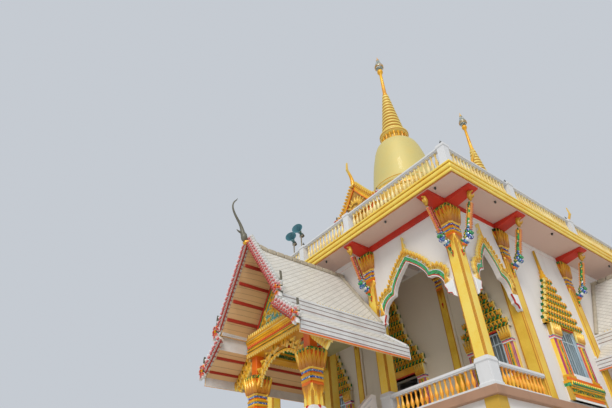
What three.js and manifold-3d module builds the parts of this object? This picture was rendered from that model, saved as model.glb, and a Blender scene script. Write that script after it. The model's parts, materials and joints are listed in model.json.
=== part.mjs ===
// Thai Buddhist temple: a raised hall with corner verandas, three gabled porches with stairs,
// a railed roof terrace and two bell-shaped chedis.
// Millimetres, +Z up, origin at ground level in the middle of the plan, front towards -Y.

import * as THREE from 'three';
import Module from 'manifold-3d';
import { mergeVertices } from 'three/addons/utils/BufferGeometryUtils.js';

const wasm = await Module();
wasm.setup();

// Driving dimensions: plan
const planHalfX = 6485;
const planHalfY = 10667;
const columnSize = 430;
const columnX = 5140;
const innerColumnX = 1420;
const columnY = 9465;
const pilasterYs = [-6707, -2367, 2367, 6707];
const hallFrontColumnY = -6707;
const wallSetback = 60;
const wallThickness = 300;
const faceX = columnX + columnSize / 2;
const faceY = columnY + columnSize / 2;

// Driving dimensions: levels
const floorTop = 5513;
const floorThickness = 250;
const floorUnderside = floorTop - floorThickness;
const groundFloorThickness = 150;
const soffit = 11700;
const beamDepth = 220;
const beamEndDepth = 50;
const beamWidth = 500;
const beamUnderside = soffit - beamDepth;
const corniceTop = 12195;
const terraceRailTop = 13070;
const verandaRailTop = 6222;
const pedestalTop = 6330;
const verandaPedestalHalf = 245;

const glassThickness = 40;
const rearDoorHalfWidth = 600;
const rearDoorHead = 2350;

// Porches and stairs, measured outwards from the column faces
const porchColumnOut = 3005;
const porchColumnX = 1450;
const porchColumnSize = 440;
const porchPierSize = 570;
const porchCapitalTop = 7150;
const porchNeckHalf = 150;
const porchBeamUnderside = 7850;
const porchBeamTop = 8450;
const porchBeamWidth = 440;
const ridgeTop = 11205;
const roofPitch = 1.482;
const upperEaveX = 1815;
const lowerRoofPitch = 0.78;
const lowerEaveX = 2680;
const porchRoofOut = 4330;
const boardThickness = 110;
const roofSkin = 215;
const lowerSkin = 156;
const roofPlateInner = 1640;
const roofPlateOuter = 1750;
const riserCount = 30;
const treadDepth = 220;
const parapetWidth = 180;
const parapetRise = 820;
const slabNosing = 110;
const stairHalfWidth = 1090;

// Chedis
const chediY = 4350;
const chediPorticoOut = 3960;
const chediPorticoHalfWidth = 1050;
const chediBodyHalfWidth = 1900;
const chediPorticoEave = 15000;
const chediGableApex = 16500;
const chediBaseTop = 17500;
const bellTop = 21300;
const spireTip = 29355;

const weldDistance = 0.001;

// Solids from three.js geometry

function toSolid(geometry) {
  const bare = geometry.clone();
  bare.deleteAttribute('normal');
  bare.deleteAttribute('uv');
  const merged = mergeVertices(bare, weldDistance);
  const corners = merged.index.array;
  const kept = [];
  for (let i = 0; i < corners.length; i += 3) {
    const [a, b, c] = [corners[i], corners[i + 1], corners[i + 2]];
    if (a !== b && b !== c && a !== c) kept.push(a, b, c);
  }
  return new wasm.Manifold(new wasm.Mesh({
    numProp: 3,
    vertProperties: new Float32Array(merged.attributes.position.array),
    triVerts: new Uint32Array(kept),
  }));
}

function toGeometry(solid) {
  const mesh = solid.getMesh();
  const geometry = new THREE.BufferGeometry();
  geometry.setAttribute('position', new THREE.BufferAttribute(new Float32Array(mesh.vertProperties), 3));
  geometry.setIndex(new THREE.BufferAttribute(new Uint32Array(mesh.triVerts), 1));
  geometry.computeVertexNormals();
  return geometry;
}

function join(pieces) {
  return pieces.map(toSolid).reduce((whole, piece) => whole.add(piece));
}

function cut(solid, pieces) {
  return pieces.map(toSolid).reduce((whole, piece) => whole.subtract(piece), solid);
}

function block(x0, x1, y0, y1, z0, z1) {
  const geometry = new THREE.BoxGeometry(x1 - x0, y1 - y0, z1 - z0);
  return geometry.translate((x0 + x1) / 2, (y0 + y1) / 2, (z0 + z1) / 2);
}

function shapeOf(points) {
  return new THREE.Shape(points.map(([a, b]) => new THREE.Vector2(a, b)));
}

function extrude(points, depth) {
  return new THREE.ExtrudeGeometry(shapeOf(points), { depth, bevelEnabled: false });
}

// An outline in X and Z, standing between two Y planes
function upright(points, yFront, yBack) {
  const turn = new THREE.Matrix4().set(1, 0, 0, 0, 0, 0, -1, yBack, 0, 1, 0, 0, 0, 0, 0, 1);
  return extrude(points, yBack - yFront).applyMatrix4(turn);
}

// An outline in Y and Z, standing between two X planes
function sideways(points, xLow, xHigh) {
  const turn = new THREE.Matrix4().set(0, 0, 1, xLow, 1, 0, 0, 0, 0, 1, 0, 0, 0, 0, 0, 1);
  return extrude(points, xHigh - xLow).applyMatrix4(turn);
}

// An outline in X and Y, lying between two levels
function flat(points, zLow, zHigh) {
  return extrude(points, zHigh - zLow).translate(0, 0, zLow);
}

function mirrored(points) {
  const back = points.filter(([x]) => x !== 0).map(([x, z]) => [-x, z]).reverse();
  return [...points, ...back];
}

// A square tapering block, such as a lotus capital
function taper(x, y, zLow, zHigh, halfLow, halfHigh) {
  const rise = zHigh - zLow;
  const geometry = new THREE.CylinderGeometry(halfHigh * Math.SQRT2, halfLow * Math.SQRT2, rise, 4, 1);
  geometry.rotateY(Math.PI / 4);
  geometry.rotateX(Math.PI / 2);
  return geometry.translate(x, y, (zLow + zHigh) / 2);
}

function lathe(profile, x, y, segments) {
  const points = profile.map(([radius, z]) => new THREE.Vector2(radius, z));
  const geometry = new THREE.LatheGeometry(points, segments);
  geometry.rotateX(Math.PI / 2);
  return geometry.translate(x, y, 0);
}

// The outline of a tapering curl, given points on its middle line and its width at each
function curl(points, widths) {
  const left = [];
  const right = [];
  points.forEach(([a, b], i) => {
    const before = points[Math.max(i - 1, 0)];
    const after = points[Math.min(i + 1, points.length - 1)];
    const run = Math.hypot(after[0] - before[0], after[1] - before[1]);
    const across = [-(after[1] - before[1]) / run, (after[0] - before[0]) / run];
    const half = widths[i] / 2;
    left.push([a + across[0] * half, b + across[1] * half]);
    right.push([a - across[0] * half, b - across[1] * half]);
  });
  return [...left, ...right.reverse()];
}

function finish(color, roughness, metalness) {
  return new THREE.MeshStandardMaterial({ color, roughness, metalness });
}

const plaster = () => finish(0xe9e6e1, 0.85, 0);
const goldPaint = () => finish(0xe3b53a, 0.45, 0.2);
const redPaint = () => finish(0xb02a14, 0.55, 0);
const slabPaint = () => finish(0xb08a6a, 0.8, 0);
const paleGold = () => finish(0xd8cc6a, 0.4, 0.3);
const roofTile = () => finish(0xd2d0c8, 0.7, 0);
const boardPaint = () => finish(0xd9dcd2, 0.6, 0);
const tintedGlass = () => finish(0x7f97a5, 0.15, 0.1);
const cream = () => finish(0xddcba8, 0.8, 0);

const temple = new THREE.Group();
const frontFace = new THREE.Group();
const rearFace = new THREE.Group();
const rightFace = new THREE.Group();
const leftFace = new THREE.Group();
frontFace.position.set(0, -faceY, 0);
rearFace.position.set(0, faceY, 0);
rearFace.rotation.z = Math.PI;
rightFace.position.set(faceX, 0, 0);
rightFace.rotation.z = Math.PI / 2;
leftFace.position.set(-faceX, 0, 0);
leftFace.rotation.z = -Math.PI / 2;
temple.add(frontFace, rearFace, rightFace, leftFace);

function place(group, name, solid, material) {
  const mesh = new THREE.Mesh(toGeometry(solid), material);
  mesh.name = name;
  group.add(mesh);
}

// In each face's own frame X runs along the face, Y = 0 is the plane of the column faces,
// -Y points outwards and Z is up.
const wallFace = wallSetback;
const wallBack = wallSetback + wallThickness;
const halfColumn = columnSize / 2;

function pilaster(x, zLow, zHigh) {
  return block(x - halfColumn, x + halfColumn, 0, wallBack, zLow, zHigh);
}

// Lower storey: ground floor and four walls with shallow pilasters under the columns

function lowerStorey() {
  const insideX = faceX - wallBack;
  const insideY = faceY - wallBack;
  const besideX = faceX - columnSize;
  const besideY = faceY - columnSize;
  const slab = join([
    block(-insideX, insideX, -besideY, besideY, 0, groundFloorThickness),
    block(-besideX, besideX, -insideY, insideY, 0, groundFloorThickness),
  ]);
  place(temple, 'ground_floor', slab, cream());

  for (const [group, name] of [[frontFace, 'front'], [rearFace, 'rear']]) {
    const pieces = [
      block(-besideX, besideX, wallFace, wallBack, 0, floorUnderside),
      block(-faceX, -besideX, 0, columnSize, 0, floorUnderside),
      block(besideX, faceX, 0, columnSize, 0, floorUnderside),
      pilaster(-innerColumnX, 0, floorUnderside),
      pilaster(innerColumnX, 0, floorUnderside),
    ];
    let wall = join(pieces);
    if (name === 'rear') {
      wall = cut(wall, [block(-rearDoorHalfWidth, rearDoorHalfWidth, 0, columnSize, -1, rearDoorHead)]);
    }
    place(group, `lower_wall_${name}`, wall, plaster());
  }
  for (const [group, name] of [[leftFace, 'left'], [rightFace, 'right']]) {
    const pieces = [block(-besideY, besideY, wallFace, wallBack, 0, floorUnderside)];
    pilasterYs.forEach((y) => pieces.push(pilaster(y, 0, floorUnderside)));
    place(group, `lower_wall_${name}`, join(pieces), plaster());
  }
  const floor = block(-faceX - slabNosing, faceX + slabNosing, -faceY - slabNosing, faceY + slabNosing,
    floorUnderside, floorTop);
  place(temple, 'upper_floor', join([floor]), slabPaint());
}

// Spired frames of stepped leaf tiers around the doors and windows

const openingKinds = {
  window: {
    half: 495, low: 6519, high: 8103, foot: 5645, footTop: 6338, footHalf: 1122, jambHalf: 990,
    tiers: [[1155, 8150], [995, 8425], [835, 8700], [675, 8975], [515, 9250], [360, 9525], [215, 9800]],
    tierTop: 10080, tip: 11353,
  },
  front_window: {
    half: 480, low: 6519, high: 7930, foot: 5645, footTop: 6338, footHalf: 930, jambHalf: 870,
    tiers: [[930, 7980], [790, 8270], [630, 8620], [470, 8970], [340, 9330], [215, 9680]],
    tierTop: 10000, tip: 11250,
  },
  door: {
    half: 650, low: 5512, high: 7640, foot: 5514, footTop: 5900, footHalf: 1130, jambHalf: 1050,
    tiers: [[1150, 7900], [900, 8260], [680, 8640], [530, 8930], [420, 9220], [330, 9700], [240, 10150]],
    tierTop: 10600, tip: 11440,
  },
  plain_door: { half: 650, low: 5512, high: 7640, foot: 5514, footTop: 5800, footHalf: 900, jambHalf: 850 },
};
const frameProud = 130;

function frameOutline(centre, kind) {
  const { high, foot, footTop, footHalf, jambHalf, tiers, tierTop, tip } = openingKinds[kind];
  const points = [[0, foot], [footHalf, foot], [footHalf, footTop], [jambHalf, footTop]];
  if (!tiers) {
    points.push([jambHalf, high + 140], [0, high + 140]);
    return mirrored(points).map(([x, z]) => [centre + x, z]);
  }
  points.push([jambHalf, tiers[0][1]]);
  tiers.forEach(([half, low], i) => {
    const [nextHalf, nextLow] = tiers[i + 1] ?? [90, tierTop];
    points.push([half, low], [half, low + (nextLow - low) * 0.45], [nextHalf - 25, nextLow]);
  });
  points.push([60, tierTop + 20], [0, tip]);
  return mirrored(points).map(([x, z]) => [centre + x, z]);
}

function hallWall(pieces, openings, yShift) {
  const frames = openings.map(([x, kind]) => (
    upright(frameOutline(x, kind), wallFace - frameProud + yShift, wallFace + 60 + yShift)));
  const holes = openings.map(([x, kind]) => {
    const { half, low, high } = openingKinds[kind];
    return block(x - half, x + half, yShift - columnSize, yShift + columnSize, low, high);
  });
  return cut(join([...pieces, ...frames]), holes);
}

function windowGlass(x, kind, yShift) {
  const { half, low, high } = openingKinds[kind];
  const middle = (wallFace + wallBack) / 2 + yShift;
  const near = middle - glassThickness / 2;
  return join([block(x - half, x + half, near, near + glassThickness, low, high)]);
}

function hall() {
  const hallFrontShift = hallFrontColumnY + columnY;
  const innerPilasterX = 2442;
  const frontWindowX = 3900;
  const rearWindowX = 3128;
  const reach = faceX - columnSize;

  const frontPieces = [block(-reach, reach, wallFace + hallFrontShift, wallBack + hallFrontShift, floorTop,
    beamUnderside)];
  [-innerPilasterX, innerPilasterX].forEach((x) => {
    const back = hallFrontShift + wallBack;
    frontPieces.push(block(x - 250, x + 250, hallFrontShift, back, floorTop, beamUnderside));
  });
  const frontOpenings = [[-frontWindowX, 'front_window'], [0, 'door'], [frontWindowX, 'front_window']];
  place(frontFace, 'hall_wall_front', hallWall(frontPieces, frontOpenings, hallFrontShift), plaster());
  [[-frontWindowX, 'left'], [frontWindowX, 'right']].forEach(([x, name]) => {
    place(frontFace, `glass_front_${name}`, windowGlass(x, 'front_window', hallFrontShift), tintedGlass());
  });

  const rearPieces = [block(-reach, reach, wallFace, wallBack, floorTop, beamUnderside)];
  [-innerColumnX, innerColumnX].forEach((x) => rearPieces.push(pilaster(x, floorTop, beamUnderside)));
  const rearOpenings = [[-rearWindowX, 'window'], [rearWindowX, 'window']];
  place(rearFace, 'hall_wall_rear', hallWall(rearPieces, rearOpenings, 0), plaster());
  [[-rearWindowX, 'right'], [rearWindowX, 'left']].forEach(([x, name]) => {
    place(rearFace, `glass_rear_${name}`, windowGlass(x, 'window', 0), tintedGlass());
  });

  const windowY = (pilasterYs[3] + pilasterYs[2]) / 2 + 25;
  for (const [group, name, turn] of [[leftFace, 'left', -1], [rightFace, 'right', 1]]) {
    const ends = [turn * (hallFrontColumnY - halfColumn), turn * faceY].sort((a, b) => a - b);
    const pieces = [block(ends[0], ends[1], wallFace, wallBack, floorTop, beamUnderside)];
    pilasterYs.forEach((y) => pieces.push(pilaster(y, floorTop, beamUnderside)));
    [turn * hallFrontColumnY, turn * columnY].forEach((y) => {
      pieces.push(block(y - halfColumn, y + halfColumn, 0, columnSize, floorTop, beamUnderside));
    });
    const openings = [[-windowY, 'window'], [0, 'plain_door'], [windowY, 'window']];
    place(group, `hall_wall_${name}`, hallWall(pieces, openings, 0), plaster());
    [[-turn, 'front'], [turn, 'rear']].forEach(([way, end]) => {
      place(group, `glass_${name}_${end}`, windowGlass(way * windowY, 'window', 0), tintedGlass());
    });
  }
}

// Veranda columns: white pedestal, shaft with stepped corners, ring bands and lotus capital

function steppedSquare(x, y, half, step) {
  const quarter = [[half, half - step], [half - step, half - step], [half - step, half]];
  const points = [];
  for (let turn = 0; turn < 4; turn += 1) {
    const cos = [1, 0, -1, 0][turn];
    const sin = [0, 1, 0, -1][turn];
    quarter.forEach(([a, b]) => points.push([x + a * cos - b * sin, y + a * sin + b * cos]));
  }
  return points;
}

function column(x, y, half, levels) {
  const { foot, pedestal, pedestalHalf, rings, lotus, top } = levels;
  const ringRise = (lotus - rings) / 4;
  const pieces = [
    block(x - pedestalHalf, x + pedestalHalf, y - pedestalHalf, y + pedestalHalf, foot, pedestal),
    flat(steppedSquare(x, y, half, half * 0.22), pedestal, lotus),
    taper(x, y, lotus, top, half * 0.92, half + 70),
  ];
  [0, 2].forEach((i) => {
    const low = rings + ringRise * i;
    pieces.push(block(x - half - 35, x + half + 35, y - half - 35, y + half + 35, low, low + ringRise));
  });
  return join(pieces);
}

const verandaLevels = {
  foot: floorTop,
  pedestal: pedestalTop,
  pedestalHalf: verandaPedestalHalf,
  rings: 10340,
  lotus: 10740,
  top: beamUnderside,
};

function verandaColumns() {
  const spots = [
    ['corner_column_left', -columnX],
    ['veranda_column_left', -innerColumnX],
    ['veranda_column_right', innerColumnX],
    ['corner_column_right', columnX],
  ];
  spots.forEach(([name, x]) => {
    place(temple, name, column(x, -columnY, halfColumn, verandaLevels), goldPaint());
  });
}

// Lobed arches in plaster screens between the columns

const archLevels = { corbel: 8285, spring: 8780, cusp: 9308, peak: 10265, flame: 11288 };
const archSteps = 6;
const screenFace = 60;
const screenBack = 140;

// Half of the arch, from the column face up to the peak
function archHalf(bayHalf, springHalf, cuspHalf, grow) {
  const { corbel, spring, cusp, peak } = archLevels;
  const points = [[bayHalf, corbel + grow]];
  points.push([springHalf + grow * 0.6 + (bayHalf - springHalf) * 0.55, corbel + (spring - corbel) * 0.45]);
  for (let i = 0; i <= archSteps; i += 1) {
    const angle = (Math.PI / 2) * (i / archSteps);
    const x = cuspHalf + (springHalf - cuspHalf) * Math.cos(angle) + grow * 0.6;
    points.push([x, spring + (cusp - spring) * Math.sin(angle) + grow]);
  }
  const bend = new THREE.QuadraticBezierCurve(
    new THREE.Vector2(cuspHalf - 25 + grow * 0.45, cusp + 30 + grow),
    new THREE.Vector2(cuspHalf - 60 + grow * 0.4, cusp + (peak - cusp) * 0.4 + grow),
    new THREE.Vector2(0, peak + grow * 1.3),
  );
  bend.getPoints(archSteps).forEach((point) => points.push([point.x, point.y]));
  points[points.length - 1][0] = 0;
  return points;
}

function archScreen(bayHalf, springHalf, cuspHalf) {
  const opening = mirrored([[0, archLevels.corbel - 500], [bayHalf, archLevels.corbel - 500],
    ...archHalf(bayHalf, springHalf, cuspHalf, 0)]);
  const band = mirrored([[0, archLevels.corbel + 300], [bayHalf, archLevels.corbel + 300],
    ...archHalf(bayHalf, Math.min(springHalf, bayHalf - 150), cuspHalf, 240).slice(2)]);
  const flame = mirrored([[0, archLevels.peak], [160, archLevels.peak + 180], [60, archLevels.peak + 520],
    [0, archLevels.flame]]);
  const screen = join([
    block(-bayHalf, bayHalf, screenFace, screenBack, archLevels.corbel, beamUnderside),
    upright(band, 0, 70),
    upright(flame, 0, 70),
  ]);
  return cut(screen, [upright(opening, -50, 400)]);
}

// A screen clears the flaring capitals of the columns beside it
function clearOfColumns(screen, columnXs) {
  return columnXs.reduce((left, x) => (
    left.subtract(column(x, halfColumn, halfColumn + 0.3, verandaLevels))), screen);
}

function verandaScreens() {
  const bayHalf = (columnX - innerColumnX - columnSize) / 2;
  const bayCentre = (columnX + innerColumnX) / 2;
  [[-1, 'left'], [1, 'right']].forEach(([side, name]) => {
    const screen = archScreen(bayHalf, 1320, 784).translate(side * bayCentre, 0, 0);
    const fitted = clearOfColumns(screen, [side * innerColumnX, side * columnX]);
    place(frontFace, `arch_screen_front_${name}`, fitted, plaster());
  });
  const sideHalf = (hallFrontColumnY + columnY - columnSize) / 2;
  const sideCentre = (columnY - hallFrontColumnY) / 2;
  [[-1, 'right', rightFace], [1, 'left', leftFace]].forEach(([side, name, group]) => {
    const screen = archScreen(sideHalf, 840, 500).translate(side * sideCentre, 0, 0);
    place(group, `arch_screen_side_${name}`, clearOfColumns(screen, [side * columnY]), plaster());
  });
  const half = innerColumnX - halfColumn;
  const screen = join([block(-half, half, screenFace, screenBack, porchBeamTop, beamUnderside)]);
  place(frontFace, 'centre_screen', clearOfColumns(screen, [-innerColumnX, innerColumnX]), plaster());
}

// Balustrades: a curb, a rail, and posts or end uprights that carry the rail

const endUpright = 60;

function balustrade(from, to, yLow, yHigh, curbLow, curbHigh, railLow, railHigh, posts) {
  return join([
    block(from, to, yLow, yHigh, curbLow, curbHigh),
    block(from, to, yLow, yHigh, railLow, railHigh),
    ...posts.map(([low, high, proud, top]) => block(low, high, yLow - proud, yHigh + proud, curbLow, top)),
  ]);
}

function verandaRail(from, to) {
  const ends = [
    [from, from + endUpright, -70, verandaRailTop - 10],
    [to - endUpright, to, -70, verandaRailTop - 10],
  ];
  return balustrade(from, to, -30, 150, floorTop, floorTop + 70, verandaRailTop - 95, verandaRailTop, ends);
}

function verandaRails() {
  const near = innerColumnX + verandaPedestalHalf;
  const far = columnX - verandaPedestalHalf;
  place(frontFace, 'veranda_rail_front_left', verandaRail(-far, -near), plaster());
  place(frontFace, 'veranda_rail_front_right', verandaRail(near, far), plaster());
  const sideFar = columnY - verandaPedestalHalf;
  const sideNear = halfColumn - hallFrontColumnY;
  place(leftFace, 'veranda_rail_side_left', verandaRail(sideNear, sideFar), plaster());
  place(rightFace, 'veranda_rail_side_right', verandaRail(-sideFar, -sideNear), plaster());
}

// Roof slab with its stepped cornice, and the terrace balustrade. The red beams under the slab cross over
// the columns and rise towards the eave, and a plate flush with the hall's walls joins them.

function roofAndTerrace() {
  const layers = [[0, 70, 55], [70, 190, 20], [190, 215, 50], [215, 390, 0], [390, 430, 45], [430, 495, 5]];
  const cornice = layers.map(([low, high, inset]) => {
    const [x, y] = [planHalfX - inset, planHalfY - inset];
    return block(-x, x, -y, y, soffit + low, soffit + high);
  });
  place(temple, 'roof_slab', join(cornice), goldPaint());

  const reachX = planHalfX - 100;
  const reachY = planHalfY - 100;
  const halfBeam = beamWidth / 2;
  const plateOut = halfColumn - wallSetback;
  const beamLine = (from, shoulder, end) => [[from, soffit], [from, beamUnderside], [shoulder, beamUnderside],
    [end, soffit - beamEndDepth], [end, soffit]];
  const along = (x, from, side) => (
    sideways(beamLine(from, side * (columnY + halfBeam), side * reachY), x - halfBeam, x + halfBeam));
  const across = (y, from, side) => (
    upright(beamLine(from, side * (columnX + halfBeam), side * reachX), y - halfBeam, y + halfBeam));
  const beams = [];
  [-columnX, -innerColumnX, innerColumnX, columnX].forEach((x) => {
    beams.push(along(x, hallFrontColumnY, -1), along(x, columnY - halfBeam, 1));
  });
  pilasterYs.forEach((y) => {
    beams.push(across(y, halfBeam, -1), across(y, -halfBeam, 1));
  });
  [-1, 1].forEach((side) => {
    beams.push(across(columnY, side * (columnX - halfBeam), side));
    beams.push(across(-columnY, side * (innerColumnX - halfBeam), side));
    const [low, high] = [side * (columnX - halfBeam), side * (columnX + plateOut)].sort((a, b) => a - b);
    beams.push(block(low, high, hallFrontColumnY, columnY + plateOut, beamUnderside, soffit));
  });
  const plate = (half, from, to) => beams.push(block(-half, half, from, to, beamUnderside, soffit));
  plate(columnX, columnY - halfBeam, columnY + plateOut);
  plate(innerColumnX, -columnY - plateOut, halfBeam - columnY);
  place(temple, 'ceiling_beams', join(beams), redPaint());

  const railWidth = 190;
  const postHalf = 150;
  const postTop = terraceRailTop + 80;
  const proud = postHalf - railWidth / 2;
  const outX = planHalfX - 110 - proud;
  const outY = planHalfY - 110 - proud;
  const levels = [corniceTop, corniceTop + 120, terraceRailTop - 110, terraceRailTop];
  const postAt = (x) => [x - postHalf, x + postHalf, proud, postTop];
  const cornerX = outX - railWidth / 2;
  const frontPosts = [-cornerX, -innerColumnX, innerColumnX, cornerX].map(postAt);
  const edgeOut = faceY - outY;
  for (const [group, name] of [[frontFace, 'front'], [rearFace, 'rear']]) {
    place(group, `terrace_rail_${name}`,
      balustrade(-outX, outX, edgeOut, edgeOut + railWidth, ...levels, frontPosts), plaster());
  }
  const sideEnd = outY - railWidth - proud;
  const sideOut = faceX - outX;
  const sidePosts = [
    [-sideEnd, endUpright - sideEnd, -20, terraceRailTop - 10],
    ...pilasterYs.map(postAt),
    [sideEnd - endUpright, sideEnd, -20, terraceRailTop - 10],
  ];
  for (const [group, name] of [[leftFace, 'left'], [rightFace, 'right']]) {
    place(group, `terrace_rail_${name}`,
      balustrade(-sideEnd, sideEnd, sideOut, sideOut + railWidth, ...levels, sidePosts), plaster());
  }
}

// Chedis: square base with four gabled porticoes, bell and ringed spire

function chedi(name, y) {
  const half = chediBodyHalfWidth;
  const basePieces = [
    block(-half - 400, half + 400, -half - 400, half + 400, corniceTop, corniceTop + 350),
    block(-half, half, -half, half, corniceTop, chediPorticoEave + 300),
    block(-half + 250, half - 250, -half + 250, half - 250, corniceTop, chediPorticoEave + 900),
    lathe([[0, corniceTop], [1750, corniceTop], [1750, 16700], [2000, 16850], [2000, 17050], [1850, 17150],
      [1930, 17300], [1850, chediBaseTop], [0, chediBaseTop]], 0, 0, 16),
  ];
  const porticoHalf = chediPorticoHalfWidth;
  const gable = mirrored([[0, corniceTop], [porticoHalf, corniceTop], [porticoHalf, chediPorticoEave],
    [porticoHalf + 180, chediPorticoEave], [porticoHalf + 130, chediPorticoEave + 130],
    [0, chediGableApex - 60]]);
  const boards = mirrored([[0, chediGableApex - 420], [porticoHalf + 40, chediPorticoEave - 60],
    [porticoHalf + 330, chediPorticoEave + 60], [porticoHalf + 190, chediPorticoEave + 170],
    [0, chediGableApex + 40]]);
  const out = chediPorticoOut;
  const hornLine = [[-40, -150], [10, 200], [-120, 560], [-300, 850], [-260, 1300]];
  const hornWidths = [260, 190, 120, 90, 30];
  const horn = curl(hornLine.map(([y, z]) => [y - out, z + chediGableApex]), hornWidths);
  const niche = mirrored([[0, corniceTop + 450], [560, corniceTop + 450], [560, 14300], [0, 14900]]);
  for (let quarter = 0; quarter < 4; quarter += 1) {
    const turn = (Math.PI / 2) * quarter;
    basePieces.push(upright(gable, -out + 120, -1200).rotateZ(turn));
    basePieces.push(upright(boards, -out, -out + 121).rotateZ(turn));
    basePieces.push(sideways(horn, -45, 45).rotateZ(turn));
  }
  const niches = [0, 1, 2, 3].map((quarter) => (
    upright(niche, -out - 10, -out + 420).rotateZ((Math.PI / 2) * quarter)));
  const base = cut(join(basePieces), niches);
  place(temple, `${name}_base`, base.translate(0, y, 0), goldPaint());

  const bellProfile = [[0, chediBaseTop], [1850, chediBaseTop], [1850, 17700], [1700, 17850], [1650, 18400],
    [1560, 19100], [1440, 19800], [1330, 20350], [1190, 20800], [1000, 21100], [790, bellTop], [0, bellTop]];
  place(temple, `${name}_bell`, join([lathe(bellProfile, 0, y, 24)]), paleGold());

  const spireProfile = [[0, bellTop], [560, bellTop], [560, 21800], [800, 21850], [800, 22000], [660, 22080]];
  const ringCount = 11;
  const ringLow = 22080;
  const ringHigh = 25460;
  for (let i = 0; i < ringCount; i += 1) {
    const share = i / ringCount;
    const radius = 640 - 470 * share;
    const low = ringLow + (ringHigh - ringLow) * share;
    const rise = (ringHigh - ringLow) / ringCount;
    spireProfile.push([radius, low + rise * 0.45], [radius * 0.84 - 5, low + rise]);
  }
  spireProfile.push([140, ringHigh + 40], [80, 27600], [165, 27700], [190, 27800], [165, 27900], [80, 28000],
    [230, 28100], [280, 28300], [200, 28600], [110, 28950], [0, spireTip]);
  place(temple, `${name}_spire`, join([lathe(spireProfile, 0, y, 16)]), goldPaint());
}

// Porches: piers, columns, entablature and pediment in one frame, a two-tier roof,
// gable boards with a tall finial, and a stair

function porchFrame() {
  const levels = {
    foot: 0,
    pedestal: floorTop,
    pedestalHalf: porchPierSize / 2,
    rings: 6120,
    lotus: 6520,
    top: porchCapitalTop,
  };
  const columnHalf = porchColumnSize / 2;
  const beamHalf = porchBeamWidth / 2;
  const out = -porchColumnOut;
  const beamEnd = porchColumnX + beamHalf;
  const roofAt = (x) => ridgeTop - roofSkin - roofPitch * x;
  const pedimentHalf = roofPlateInner - 0.5;
  const pediment = mirrored([[0, porchBeamTop - 1], [pedimentHalf, porchBeamTop - 1],
    [pedimentHalf, roofAt(pedimentHalf) - 1], [0, roofAt(0) - 1]]);
  const neck = (x) => block(x - porchNeckHalf, x + porchNeckHalf, out - porchNeckHalf, out + porchNeckHalf,
    porchCapitalTop, porchBeamUnderside);
  const frame = join([
    neck(-porchColumnX),
    neck(porchColumnX),
    block(-beamEnd, beamEnd, out - beamHalf, out + beamHalf, porchBeamUnderside, porchBeamTop),
    block(-beamEnd, -porchColumnX + beamHalf, out, wallFace, porchBeamUnderside, porchBeamTop),
    block(porchColumnX - beamHalf, beamEnd, out, wallFace, porchBeamUnderside, porchBeamTop),
    block(-porchColumnX, porchColumnX, out, wallFace, porchBeamTop - 70, porchBeamTop),
    upright(pediment, out - 60, out + 90),
  ]);
  return frame
    .add(column(-porchColumnX, out, columnHalf, levels))
    .add(column(porchColumnX, out, columnHalf, levels));
}

function porchRoof() {
  const upperEave = ridgeTop - roofPitch * upperEaveX;
  const lowerStart = 8091;
  const lowerAt = (x) => lowerStart - lowerRoofPitch * (x - upperEaveX);
  const section = mirrored([
    [0, ridgeTop - roofSkin],
    [roofPlateInner, ridgeTop - roofSkin - roofPitch * roofPlateInner],
    [roofPlateInner, porchBeamTop],
    [roofPlateOuter, porchBeamTop],
    [roofPlateOuter, lowerAt(roofPlateOuter) - lowerSkin],
    [lowerEaveX - 60, lowerAt(lowerEaveX - 60) - lowerSkin],
    [lowerEaveX - 60, 7030],
    [lowerEaveX, 7030],
    [lowerEaveX, lowerAt(lowerEaveX)],
    [upperEaveX, lowerAt(upperEaveX)],
    [upperEaveX, upperEave],
    [0, ridgeTop],
  ]);
  return join([upright(section, -porchRoofOut, wallFace)]);
}

function gableBoards() {
  const upper = mirrored([[0, ridgeTop + 200], [1640, ridgeTop + 200 - roofPitch * 1640], [1790, 9250],
    [1900, 8850], [1960, 8480], [1900, 8200], [1800, 8120], [1690, 8435], [0, ridgeTop - 265]]);
  const lowerBoard = [[1500, 8590], [1750, 8400], [2480, 7800], [2600, 8150], [2690, 7760], [2760, 7420],
    [2700, 7190], [2588, 7150], [1640, 7890], [1500, 8250]];
  const front = -porchRoofOut - boardThickness;
  const boards = [upright(upper, front, -porchRoofOut - 0.3)];
  [1, -1].forEach((side) => {
    const outline = lowerBoard.map(([x, z]) => [x * side, z]);
    boards.push(upright(outline, front, -porchRoofOut - 0.3));
  });
  const middle = front + boardThickness / 2;
  const horn = curl([[middle, 10980], [middle, 11270], [middle - 130, 11420], [middle - 270, 11620],
    [middle - 300, 11850], [middle - 520, 12120], [middle - 690, 12450], [middle - 720, 12720],
    [middle - 520, 13060]], [100, 100, 300, 330, 210, 140, 110, 80, 24]);
  boards.push(sideways(horn, -50, 50));
  return join(boards);
}

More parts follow.
